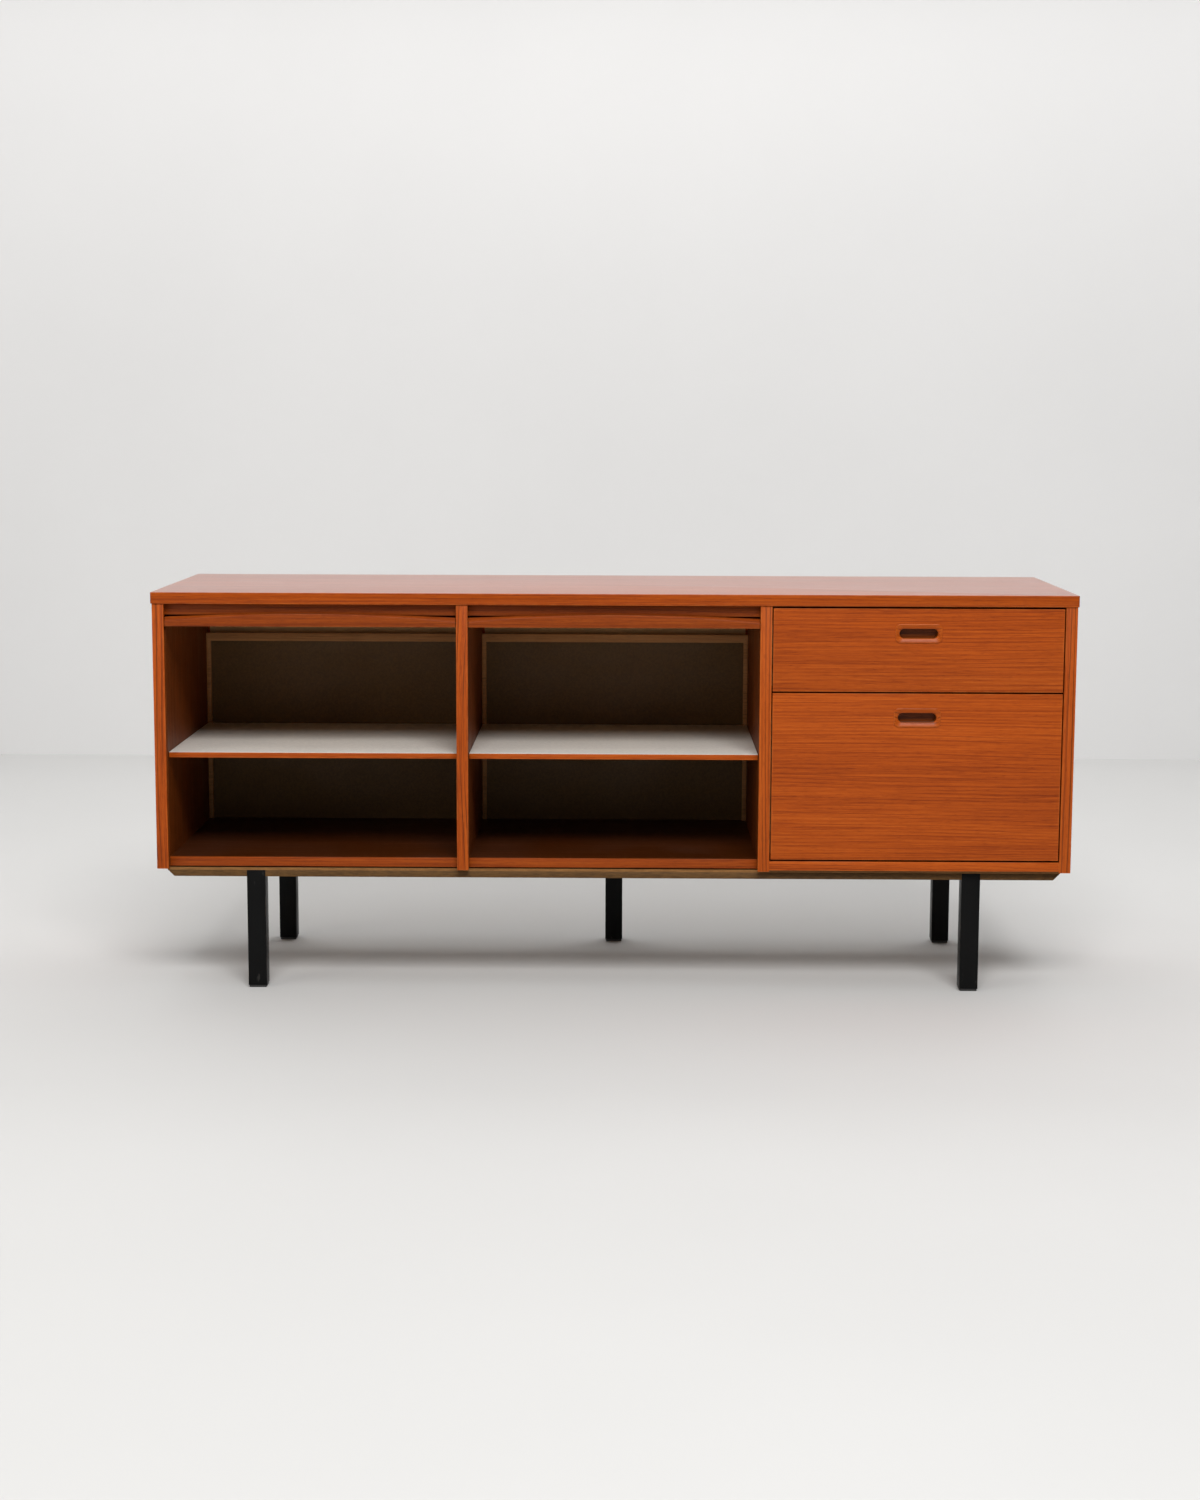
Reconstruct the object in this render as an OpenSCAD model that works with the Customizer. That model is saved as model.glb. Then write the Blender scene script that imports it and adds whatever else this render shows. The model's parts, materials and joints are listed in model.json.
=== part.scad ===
// Low office sideboard on five square legs: two tambour bays with a shelf each,
// and a bay with a shallow drawer over a deep one.
// Millimetres. The origin is on the floor under the middle of the top,
// +X to the right, +Y to the back, +Z up.

/* [Overall] */
// Width of the top
top_w = 1600; // [1400:1:1800]
// Depth of the top
top_d = 480; // [460:1:540]
// Height of the top's surface above the floor
total_h = 700; // [690:1:780]

/* [Boards] */
// Thickness of the top
top_t = 20; // [16:1:24]
// Thickness of the sides and dividers
panel_t = 20; // [18:1:22]
// Thickness of the bottom boards
bottom_t = 16; // [14:1:18]
// Thickness of the back panel and of the false backs
back_t = 4; // [3:0.5:5]
// How far the top stands past each side
side_overhang = 2.2; // [0:0.1:4]
// How far the top stands past the front of the sides
front_overhang = 2.7; // [0:0.1:4]
// How far the top stands past the back of the sides
rear_overhang = 2; // [0:0.1:4]
// Thickness of the solid wood lippings
lipping_t = 6; // [4:0.5:8]

/* [Base] */
// Height of the underside of the sides above the floor
carcass_z = 215.5; // [180:0.5:240]
// Thickness of the panel under the carcass
base_panel_t = 4.5; // [4:0.5:6]
// Height of the bearers
bearer_h = 11.5; // [10:0.5:14]
// Depth of the front and rear bearers
bearer_d = 60; // [50:1:80]
// Set-back of the front bearer from the front edge of the top
bearer_front = 20; // [16:1:30]
// Side of a square leg
leg_w = 32.5; // [28:0.5:36]
// Distance from the middle of the sideboard to the middle of an end leg
leg_x = 627.3; // [560:0.1:640]
// Front face of the rear legs, from the front edge of the top
rear_leg_front = 415.6; // [380:0.1:420]

/* [Shelves] */
// Thickness of a shelf
shelf_t = 10; // [8:1:14]
// Height of a shelf's top surface above the floor
shelf_z = 419; // [380:0.1:460]
// Set-back of a shelf from the front edge of the top
shelf_front = 27; // [24:1:60]

/* [Tambour] */
// Number of slats in one curtain
slats = 42; // [38:1:44]
// Distance from one slat to the next
slat_pitch = 12; // [11:0.1:12]
// Thickness of a slat
slat_t = 7.8; // [6:0.1:8]
// Height of the canvas where the curtain runs level
run_z = 648; // [646:0.1:648]
// Height of the lead rail's underside with the curtain open
rail_z = 641; // [640:0.1:641]
// Travel of the lead rail down to the closed curtain
rail_travel = 422; // [380:1:422]

/* [Drawers] */
// Thickness of a drawer front
drawer_front_t = 18; // [16:1:20]
// Height of the upper drawer front
upper_front_h = 144; // [140:1:150]
// Gap around a drawer front
drawer_gap = 3; // [2:0.1:4]
// Thickness of the drawer sides
drawer_side_t = 14; // [13:1:16]
// Length of the drawer sides
drawer_side_l = 430; // [400:1:430]
// Height of the upper drawer's sides
upper_box_h = 112; // [100:1:120]
// Height of the lower drawer's sides
lower_box_h = 236; // [200:1:245]
// Width of a handle's rim
handle_w = 81; // [75:1:90]
// Height of a handle's rim
handle_h = 33.5; // [30:0.5:40]

/* [Hidden] */

teak = "#b5602a";
teak_dark = "#8a4a20";
laminate = "#dcd6cb";
hardboard = "#5a4633";
raw_wood = "#a08a5a";
beech = "#cda878";
black = "#1c1c1c";
steel = "#b8b8b8";
canvas_cloth = "#b0a080";

// Depths are counted back from the front edge of the top.
function y_at(from_front) = from_front - top_d / 2;

// Heights
top_under = total_h - top_t;
bottom_under = carcass_z + 2.5;
bay_floor = bottom_under + bottom_t;
base_under = carcass_z - base_panel_t;
bearer_under = base_under - bearer_h;

// Depths from the front edge of the top
front_face = front_overhang;
back_face = top_d - rear_overhang;
back_front = back_face - 8;
bearer_back = rear_leg_front + leg_w;

// Widths
side_x = top_w / 2 - side_overhang;
inner_x = side_x - panel_t;
bay_w = (2 * inner_x - 2 * panel_t) / 3;
bay_l = [for (i = [0:2]) -inner_x + i * (bay_w + panel_t)];
bay_mid = [for (x = bay_l) x + bay_w / 2];

// Bottom boards stop behind the closed curtain in the tambour bays
bottom_front = [20, 20, front_face];

// The curtain's canvas line: up the front, back under the top, down the back
groove_depth = 6;
tongue = 5;
canvas_t = 0.9;
track_play = 0.8;
track_front = 16;
track_back = top_d - 28;
front_bend = 20;
bend_steps = 24;
rear_bend = 46;
groove_foot = rail_z - rail_travel - 1.5;
run_start = track_front + 1.5;
rear_bend_start = track_back - rear_bend;
run_l = rear_bend_start - run_start;
bend_l = rear_bend * PI / 2;
curtain_l = slats * slat_pitch;
false_back_front = track_back - 12;
false_back_top = 591;
bead_w = 8;
bead_d = 9;
bead_top_h = 15;

// Lead rail
rail_gap = 1.6;
rail_end_h = 16;
rail_mid_h = 22;
rail_lip_h = 8.5;
rail_lip_front = 4.2;
rail_back = 14;
rail_slope = 44;
rail_ease = 0.7;
apron_under = 660.5;
apron_front = 14.8;
apron_t = 18;

// Drawers
front_w = bay_w - 2 * 2.2;
upper_front_z = top_under - 3.5 - upper_front_h;
lower_front_z = bay_floor + 3.3;
lower_front_h = upper_front_z - drawer_gap - lower_front_z;
drawer_front_y = front_face + 0.3;
box_front_y = drawer_front_y + drawer_front_t;
side_play = 1.5;
box_l = bay_l[2] + side_play;
box_r = bay_l[2] + bay_w - side_play;
upper_box_z = upper_front_z + 8;
lower_box_z = lower_front_z + 8;
upper_handle_z = upper_front_z + upper_front_h - 43;
lower_handle_z = lower_front_z + lower_front_h - 42;
runner_h = 18;
runner_play = 0.4;
runner_in = 6.5;
runner_groove = 7.2;
panel_groove = 5;
panel_up = 8;
drawer_back_t = 12;
slot_w = 66;
slot_h = 16;
slot_floor = 2;
rim_stand = 1.6;
rim_r = 9;

// Fasteners
dowel_r = 4;
screw_r = 2;
pin_r = 2.5;
fit = 0.06;
pin_z = shelf_z - shelf_t - pin_r - 0.05;
pin_depths = [90, 385];
dowel_depths = [60, 240, 400];
leg_centres = [
    [-leg_x, bearer_front + leg_w / 2], [leg_x, bearer_front + leg_w / 2],
    [-leg_x, rear_leg_front + leg_w / 2], [0, rear_leg_front + leg_w / 2],
    [leg_x, rear_leg_front + leg_w / 2]
];
glide_h = 4;
glide_w = 30;
bolt_r = 4;
bolt_foot = 165;
bolt_head = bottom_under + 11;
cross_xs = [-leg_x - 60, 0, leg_x + 60];
cross_w = 50;
back_screw_xs = [for (i = [-3:3]) i * 240];
back_screw_zs = [300, 400, 500, 600];
back_screw_posts = [
    -inner_x - 4, bay_l[1] - panel_t / 2, bay_l[2] - panel_t / 2, inner_x + 4
];
runner_screw_ys = [80, 240, 400];

// A box between two corners: depths are from the front edge of the top
module slab(x, y, z) {
    translate([x[0], y_at(y[0]), z[0]])
        cube([x[1] - x[0], y[1] - y[0], z[1] - z[0]]);
}

// A round bar along X, Y or Z
module bar_x(x, y, z, r) {
    translate([x[0], y_at(y), z]) rotate([0, 90, 0])
        cylinder(h = x[1] - x[0], r = r, $fn = 48);
}
module bar_y(x, y, z, r) {
    translate([x, y_at(y[1]), z]) rotate([90, 0, 0])
        cylinder(h = y[1] - y[0], r = r, $fn = 48);
}
module bar_z(x, y, z, r) {
    translate([x, y_at(y), z[0]])
        cylinder(h = z[1] - z[0], r = r, $fn = 48);
}

// Points of an arc about a centre, from one angle to another
function arc(centre, r, from, to) =
    [for (k = [0:bend_steps]) let (a = from + (to - from) * k / bend_steps)
        centre + r * [cos(a), sin(a)]];
function reversed(list) = [for (k = [len(list) - 1:-1:0]) list[k]];

// The canvas line in the Y-Z plane, moved out by off from the bay
front_centre = [y_at(track_front) + front_bend, run_z - front_bend];
rear_centre = [y_at(rear_bend_start), run_z - rear_bend];
function rear_line(off, foot) = concat(
    arc(rear_centre, rear_bend + off, 90, 0), [[y_at(track_back) + off, foot]]);
function track_line(off) = concat(
    [[y_at(track_front) - off, groove_foot]],
    arc(front_centre, front_bend + off, 180, 90), rear_line(off, bay_floor));
function run_line(off) = concat(
    [[y_at(run_start), run_z + off]],
    rear_line(off, rear_centre[1] - (curtain_l - run_l - bend_l)));

// The curtain's groove in one face of an upright, and the lead rail's head room
module track_groove(face_x, dir) {
    x = dir > 0 ? [face_x - 1, face_x + groove_depth] : [face_x - groove_depth, face_x + 1];
    reach = slat_t + track_play;
    translate([x[0], 0, 0]) rotate([90, 0, 90])
        linear_extrude(x[1] - x[0])
            polygon(concat(track_line(reach), reversed(track_line(-track_play))));
    slab(x, [track_front - reach, track_front + front_bend],
        [run_z - track_play, run_z + reach]);
    slab(x, [track_front - reach, track_front + track_play],
        [run_z - front_bend - 2, run_z]);
}

module pin_holes(face_x, dir) {
    for (y = pin_depths)
        bar_x(dir > 0 ? [face_x - 1, face_x + 10] : [face_x - 10, face_x + 1],
            y, pin_z, pin_r);
}

// Dowel positions: uprights into the top, and bottom boards into the uprights
upright_mids = [
    -side_x + panel_t / 2, bay_l[1] - panel_t / 2,
    bay_l[2] - panel_t / 2, side_x - panel_t / 2
];
module top_dowels(r) {
    for (x = upright_mids, y = dowel_depths)
        bar_z(x, y, [top_under - 18, top_under + 12], r);
}
module bottom_dowels(r) {
    for (i = [0:2], y = [60, 400], end = [0, 1]) {
        face = bay_l[i] + end * bay_w;
        out = i == 0 && end == 0 || i == 2 && end == 1 ? 12 : 8;
        span = end == 0 ? [face - out, face + 18] : [face - 18, face + out];
        bar_x(span, y, bottom_under + bottom_t / 2, r);
    }
}

module top_panel() {
    corner = 4;
    color(teak) difference() {
        union() {
            slab([corner - top_w / 2, top_w / 2 - corner], [0, top_d], [top_under, total_h]);
            slab([-top_w / 2, top_w / 2], [corner, top_d - corner], [top_under, total_h]);
            for (sx = [-1, 1], y = [corner, top_d - corner])
                bar_z(sx * (top_w / 2 - corner), y, [top_under, total_h], corner);
        }
        top_dowels(dowel_r);
    }
}

// An outer side: rebated for the back panel, sgn is -1 on the left
module side_board(sgn) {
    x = sgn < 0 ? [-side_x, -inner_x] : [inner_x, side_x];
    rebate = sgn < 0 ? [-inner_x - 8, -inner_x + 1] : [inner_x - 1, inner_x + 8];
    slab_y = [front_face, back_face];
    difference() {
        slab(x, slab_y, [carcass_z, top_under]);
        slab(rebate, [back_front, back_face + 1], [carcass_z - 1, top_under + 1]);
        top_dowels(dowel_r);
        bottom_dowels(dowel_r);
    }
}
module left_side() {
    color(teak) difference() {
        side_board(-1);
        track_groove(-inner_x, -1);
        pin_holes(-inner_x, -1);
    }
}
module right_side() {
    color(teak) side_board(1);
}

module divider_board(x) {
    difference() {
        slab([x, x + panel_t], [front_face, back_front], [carcass_z, top_under]);
        top_dowels(dowel_r);
        bottom_dowels(dowel_r);
    }
}
module left_divider() {
    x = bay_l[0] + bay_w;
    color(teak) difference() {
        divider_board(x);
        track_groove(x, 1);
        track_groove(x + panel_t, -1);
        pin_holes(x, 1);
        pin_holes(x + panel_t, -1);
    }
}
module right_divider() {
    x = bay_l[1] + bay_w;
    color(teak) difference() {
        divider_board(x);
        track_groove(x, 1);
        pin_holes(x, 1);
    }
}

module bottom_board(i) {
    color(teak_dark) difference() {
        slab([bay_l[i], bay_l[i] + bay_w], [bottom_front[i] + lipping_t, back_front],
            [bottom_under, bay_floor]);
        bottom_dowels(dowel_r);
        bolts(bolt_r);
    }
}
module left_bottom() { bottom_board(0); }
module middle_bottom() { bottom_board(1); }
module right_bottom() { bottom_board(2); }
module bottom_lippings() {
    color(teak) for (i = [0:2])
        slab([bay_l[i], bay_l[i] + bay_w], [bottom_front[i], bottom_front[i] + lipping_t],
            [bottom_under, bay_floor]);
}

module apron(i) {
    color(teak_dark) slab([bay_l[i], bay_l[i] + bay_w],
        [apron_front, apron_front + apron_t], [apron_under, top_under]);
}
module left_apron() { apron(0); }
module middle_apron() { apron(1); }

module back_panel() {
    color(hardboard) difference() {
        slab([-inner_x - 8, inner_x + 8], [back_front, back_front + back_t],
            [bottom_under, top_under]);
        back_screw_set(screw_r);
    }
}

module false_back(i) {
    color(hardboard) slab([bay_l[i], bay_l[i] + bay_w],
        [false_back_front, false_back_front + back_t], [bay_floor, false_back_top]);
}
module left_false_back() { false_back(0); }
module middle_false_back() { false_back(1); }

module back_beads(i) {
    y = [false_back_front - bead_d, false_back_front];
    x0 = bay_l[i];
    x1 = bay_l[i] + bay_w;
    beam_z = false_back_top - bead_top_h;
    color(raw_wood) {
        slab([x0, x0 + bead_w], y, [bay_floor, beam_z]);
        slab([x1 - bead_w, x1], y, [bay_floor, beam_z]);
        slab([x0, x1], y, [beam_z, false_back_top]);
    }
}
module left_back_beads() { back_beads(0); }
module middle_back_beads() { back_beads(1); }

shelf_gap = 0.8;
shelf_back = false_back_front - bead_d - 1;
module shelf(i) {
    color(laminate) slab([bay_l[i] + shelf_gap, bay_l[i] + bay_w - shelf_gap],
        [shelf_front + lipping_t, shelf_back], [shelf_z - shelf_t, shelf_z]);
}
module left_shelf() { shelf(0); }
module middle_shelf() { shelf(1); }
module shelf_lippings() {
    color(teak) for (i = [0, 1])
        slab([bay_l[i] + shelf_gap, bay_l[i] + bay_w - shelf_gap],
            [shelf_front, shelf_front + lipping_t], [shelf_z - shelf_t, shelf_z]);
}
module shelf_pins() {
    color(steel) for (i = [0, 1], y = pin_depths) {
        bar_x([bay_l[i] - 9.5, bay_l[i] + 9], y, pin_z, pin_r - fit);
        bar_x([bay_l[i] + bay_w - 9, bay_l[i] + bay_w + 9.5], y, pin_z, pin_r - fit);
    }
}

// A block under an arch of flat steps, as wide as a rail. Its sag is the drop from
// crown to ends. Two such blocks share no step's place, so no sliver is left.
module arched_block(i, sag, crown, tilt, steps) {
    half = bay_w / 2 - rail_gap;
    arch = [for (k = [0:steps]) let (share = 2 * k / steps - 1)
        [share * (half + 1), -sag * share * share]];
    translate([bay_mid[i], y_at(crown[0]), crown[1]]) rotate([tilt, 0, 0])
        translate([0, 60, 0]) rotate([90, 0, 0])
            linear_extrude(120) polygon(concat([[half + 1, -80], [-half - 1, -80]], arch));
}

// The lead rail: arched above, with an arched slope that leaves a finger lip at each end
module lead_rail(i) {
    half = bay_w / 2 - rail_gap;
    top = rail_z + rail_mid_h;
    profile = [
        [y_at(rail_lip_front), rail_z], [y_at(rail_lip_front), top + 1],
        [y_at(rail_back), top + 1], [y_at(rail_back), rail_z + 7.6],
        [y_at(track_front), rail_z + 6.6], [y_at(track_front), rail_z]
    ];
    color(teak) {
        intersection() {
            translate([bay_mid[i] - half, 0, 0]) rotate([90, 0, 90])
                linear_extrude(2 * half) polygon(profile);
            arched_block(i, rail_mid_h - rail_end_h, [rail_back, top], 0, 24);
            arched_block(i, (rail_mid_h - rail_ease - rail_lip_h) * cos(rail_slope),
                [rail_lip_front, top - rail_ease], rail_slope, 17);
        }
        for (sgn = [-1, 1])
            translate([bay_mid[i] + sgn * (bay_w / 2 + tongue / 2 - 2),
                y_at(track_front - slat_t / 2), rail_z + 3.3])
                cube([tongue + 4, slat_t, 6.6], center = true);
    }
}
module left_lead_rail() { lead_rail(0); }
module middle_lead_rail() { lead_rail(1); }

// Place on the canvas line at a distance s from the lead rail: [from_front, z, turn]
function track_at(s) =
    s < run_l ? [run_start + s, run_z, 0] :
    s < run_l + bend_l ?
        let (turn = (s - run_l) / rear_bend * 180 / PI)
        [rear_bend_start + rear_bend * sin(turn),
            run_z - rear_bend + rear_bend * cos(turn), turn] :
    [track_back, run_z - rear_bend - (s - run_l - bend_l), 90];

module slat_set(i) {
    length = bay_w + 2 * tongue;
    face = slat_pitch - 0.6;
    color(teak) for (k = [0:slats - 1]) {
        at = track_at((k + 0.5) * slat_pitch);
        translate([bay_mid[i], y_at(at[0]), at[1]]) rotate([-at[2], 0, 0])
            translate([-length / 2, -face / 2, 0.02]) cube([length, face, slat_t]);
    }
}
module left_slats() { slat_set(0); }
module middle_slats() { slat_set(1); }

// The canvas that the slats are glued to, as far as the last slat
module canvas(i) {
    width = bay_w - 2 * 4;
    color(canvas_cloth) translate([bay_mid[i] - width / 2, 0, 0]) rotate([90, 0, 90])
        linear_extrude(width) polygon(concat(run_line(0), reversed(run_line(-canvas_t))));
}
module left_canvas() { canvas(0); }
module middle_canvas() { canvas(1); }

// A bar with rounded corners along Y: width, height and corner radius
module rounded_bar(w, h, r, x, y, z) {
    slab([x - w / 2 + r, x + w / 2 - r], y, [z - h / 2, z + h / 2]);
    if (h > 2 * r) slab([x - w / 2, x + w / 2], y, [z - h / 2 + r, z + h / 2 - r]);
    for (sx = [-1, 1], sz = [-1, 1])
        bar_y(x + sx * (w / 2 - r), y, z + sz * (h / 2 - r), r);
}

body_w = handle_w - 8;
body_h = handle_h - 8;
body_r = rim_r - 4;
module drawer_front(z, h, handle_z) {
    color(teak) difference() {
        slab([bay_mid[2] - front_w / 2, bay_mid[2] + front_w / 2],
            [drawer_front_y, box_front_y], [z, z + h]);
        rounded_bar(body_w + 2 * fit, body_h + 2 * fit, body_r, bay_mid[2],
            [drawer_front_y - 1, box_front_y + 1], handle_z);
        drawer_screw_set(z + 8, h, screw_r);
    }
}
module handle(handle_z) {
    color(teak_dark) difference() {
        union() {
            rounded_bar(handle_w, handle_h, rim_r, bay_mid[2],
                [drawer_front_y - rim_stand, drawer_front_y], handle_z);
            rounded_bar(body_w, body_h, body_r, bay_mid[2],
                [drawer_front_y - 0.5, box_front_y], handle_z);
        }
        rounded_bar(slot_w, slot_h, slot_h / 2, bay_mid[2],
            [drawer_front_y - 5, box_front_y - slot_floor], handle_z);
    }
}

// A drawer side: grooved outside for its runner and inside for the bottom
module drawer_side(z, h, sgn, slide_z) {
    x = sgn < 0 ? [box_l, box_l + drawer_side_t] : [box_r - drawer_side_t, box_r];
    out = sgn < 0 ? [box_l - 1, box_l + runner_groove] : [box_r - runner_groove, box_r + 1];
    in = sgn < 0 ? [x[1] - panel_groove, x[1] + 1] : [x[0] - 1, x[0] + panel_groove];
    end_y = box_front_y + drawer_side_l;
    color(beech) difference() {
        slab(x, [box_front_y, end_y], [z, z + h]);
        slab(out, [box_front_y + 14, end_y + 1],
            [slide_z - runner_play, slide_z + runner_h + runner_play]);
        slab(in, [box_front_y - 1, end_y + 1],
            [z + panel_up - 0.2, z + panel_up + back_t + 0.2]);
        drawer_screw_set(z, h, screw_r);
    }
}
module drawer_back(z, h) {
    end_y = box_front_y + drawer_side_l;
    color(beech) slab([box_l + drawer_side_t, box_r - drawer_side_t],
        [end_y - drawer_back_t, end_y], [z + panel_up + back_t + 0.2, z + h - 6]);
}
module drawer_bottom(z) {
    inset = drawer_side_t - panel_groove + 0.3;
    color(hardboard) slab([box_l + inset, box_r - inset],
        [box_front_y, box_front_y + drawer_side_l - 1],
        [z + panel_up, z + panel_up + back_t]);
}
// Screws through the rear of the front's ends into the drawer sides
module drawer_screw_set(z, h, r) {
    for (x = [box_l + drawer_side_t - 3.5, box_r - drawer_side_t + 3.5], up = [22, 88])
        bar_y(x, [box_front_y - 12, box_front_y + 20], z + up, r);
}

upper_slide_z = upper_box_z + 46;
lower_slide_z = lower_box_z + 120;
module upper_drawer_front() { drawer_front(upper_front_z, upper_front_h, upper_handle_z); }
module upper_drawer_handle() { handle(upper_handle_z); }
module upper_drawer_left_side() { drawer_side(upper_box_z, upper_box_h, -1, upper_slide_z); }
module upper_drawer_right_side() { drawer_side(upper_box_z, upper_box_h, 1, upper_slide_z); }
module upper_drawer_back() { drawer_back(upper_box_z, upper_box_h); }
module upper_drawer_bottom() { drawer_bottom(upper_box_z); }
module upper_drawer_screws() {
    color(steel) drawer_screw_set(upper_box_z, upper_box_h, screw_r - fit);
}
module lower_drawer_front() { drawer_front(lower_front_z, lower_front_h, lower_handle_z); }
module lower_drawer_handle() { handle(lower_handle_z); }
module lower_drawer_left_side() { drawer_side(lower_box_z, lower_box_h, -1, lower_slide_z); }
module lower_drawer_right_side() { drawer_side(lower_box_z, lower_box_h, 1, lower_slide_z); }
module lower_drawer_back() { drawer_back(lower_box_z, lower_box_h); }
module lower_drawer_bottom() { drawer_bottom(lower_box_z); }
module lower_drawer_screws() {
    color(steel) drawer_screw_set(lower_box_z, lower_box_h, screw_r - fit);
}

// Wooden runners on the divider and on the right side
module runner_pair(z) {
    reach = side_play + runner_in;
    y = [box_front_y + 18, box_front_y + drawer_side_l - 6];
    color(beech) difference() {
        union() {
            slab([bay_l[2], bay_l[2] + reach], y, [z, z + runner_h]);
            slab([bay_l[2] + bay_w - reach, bay_l[2] + bay_w], y, [z, z + runner_h]);
        }
        runner_screw_set(z, screw_r);
    }
}
module runner_screw_set(z, r) {
    reach = side_play + runner_in;
    for (y = runner_screw_ys) {
        bar_x([bay_l[2], bay_l[2] + reach - 1], y, z + runner_h / 2, r);
        bar_x([bay_l[2] + bay_w - reach + 1, bay_l[2] + bay_w], y, z + runner_h / 2, r);
    }
}
module upper_runners() { runner_pair(upper_slide_z); }
module lower_runners() { runner_pair(lower_slide_z); }
module runner_screws() {
    color(steel) for (z = [upper_slide_z, lower_slide_z])
        runner_screw_set(z, screw_r - fit);
}
module drawer_stops() {
    y = [box_front_y + drawer_side_l + 0.6, back_front];
    color(beech) for (z = [upper_box_z + 10, lower_box_z + 10]) {
        slab([bay_l[2], bay_l[2] + 14], y, [z, z + 40]);
        slab([bay_l[2] + bay_w - 14, bay_l[2] + bay_w], y, [z, z + 40]);
    }
}

// Threaded bars that hold the legs to the bottom boards
module bolts(r) {
    for (c = leg_centres) bar_z(c[0], c[1], [bolt_foot, bolt_head], r);
}
module base_panel() {
    color(raw_wood) difference() {
        slab([-side_x + 15, side_x - 15], [bearer_front, back_front - 8],
            [base_under, carcass_z]);
        bolts(bolt_r);
        bearer_screw_set(screw_r);
    }
}

// A long bearer: its ends are cut away at 45 degrees below
module bearer(y) {
    half = side_x - 15.5;
    outline = [
        [-half, base_under], [half, base_under],
        [half - bearer_h, bearer_under], [-half + bearer_h, bearer_under]
    ];
    translate([0, y_at(y[1]), 0]) rotate([90, 0, 0])
        linear_extrude(y[1] - y[0]) polygon(outline);
}
module leg_notches() {
    for (c = leg_centres)
        slab([c[0] - leg_w / 2 - 0.1, c[0] + leg_w / 2 + 0.1],
            [c[1] - leg_w / 2 - 0.1, c[1] + leg_w / 2 + 0.1],
            [bearer_under - 1, base_under + 0.01]);
}
module front_bearer() {
    color(raw_wood) difference() {
        bearer([bearer_front, bearer_front + bearer_d]);
        leg_notches();
        bearer_screw_set(screw_r);
    }
}
module rear_bearer() {
    color(raw_wood) difference() {
        bearer([bearer_back - bearer_d, bearer_back]);
        leg_notches();
        bearer_screw_set(screw_r);
    }
}
module cross_bearers() {
    color(raw_wood) for (x = cross_xs)
        slab([x - cross_w / 2, x + cross_w / 2],
            [bearer_front + bearer_d, bearer_back - bearer_d], [bearer_under, base_under]);
}
module bearer_screw_set(r) {
    ys = [bearer_front + bearer_d - 12, bearer_back - bearer_d + 12];
    for (x = [-700, -350, 0, 350, 700], y = ys)
        bar_z(x * side_x / 800, y, [bearer_under, carcass_z - 0.5], r);
}
module bearer_screws() {
    color(steel) bearer_screw_set(screw_r - fit);
}

module leg(k) {
    c = leg_centres[k];
    color(black) difference() {
        slab([c[0] - leg_w / 2, c[0] + leg_w / 2], [c[1] - leg_w / 2, c[1] + leg_w / 2],
            [glide_h, base_under]);
        bolts(bolt_r);
    }
}
module front_left_leg() { leg(0); }
module front_right_leg() { leg(1); }
module rear_left_leg() { leg(2); }
module rear_middle_leg() { leg(3); }
module rear_right_leg() { leg(4); }
module leg_glides() {
    color(black) for (c = leg_centres)
        slab([c[0] - glide_w / 2, c[0] + glide_w / 2],
            [c[1] - glide_w / 2, c[1] + glide_w / 2], [0, glide_h]);
}
module leg_bolts() {
    color(steel) bolts(bolt_r - fit);
}
module carcass_dowels() {
    color(beech) {
        top_dowels(dowel_r - fit);
        bottom_dowels(dowel_r - fit);
    }
}
module back_screw_set(r) {
    y = [back_front, back_front + back_t + 0.3];
    for (x = back_screw_xs) bar_y(x, y, bottom_under + bottom_t / 2, r);
    for (x = back_screw_posts, z = back_screw_zs) bar_y(x, y, z, r);
}
module back_screws() {
    color(steel) back_screw_set(screw_r - fit);
}

top_panel();
left_side();
right_side();
left_divider();
right_divider();
left_bottom();
middle_bottom();
right_bottom();
bottom_lippings();
left_apron();
middle_apron();
back_panel();
left_false_back();
middle_false_back();
left_back_beads();
middle_back_beads();
left_shelf();
middle_shelf();
shelf_lippings();
shelf_pins();
left_lead_rail();
middle_lead_rail();
left_slats();
middle_slats();
left_canvas();
middle_canvas();
upper_drawer_front();
upper_drawer_handle();
upper_drawer_left_side();
upper_drawer_right_side();
upper_drawer_back();
upper_drawer_bottom();
lower_drawer_front();
lower_drawer_handle();
lower_drawer_left_side();
lower_drawer_right_side();
lower_drawer_back();
lower_drawer_bottom();
upper_drawer_screws();
lower_drawer_screws();
upper_runners();
lower_runners();
runner_screws();
drawer_stops();
base_panel();
front_bearer();
rear_bearer();
cross_bearers();
front_left_leg();
front_right_leg();
rear_left_leg();
rear_middle_leg();
rear_right_leg();
leg_glides();
leg_bolts();
carcass_dowels();
back_screws();
bearer_screws();
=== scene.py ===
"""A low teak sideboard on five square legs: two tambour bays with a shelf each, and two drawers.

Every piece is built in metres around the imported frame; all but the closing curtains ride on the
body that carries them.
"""

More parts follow.
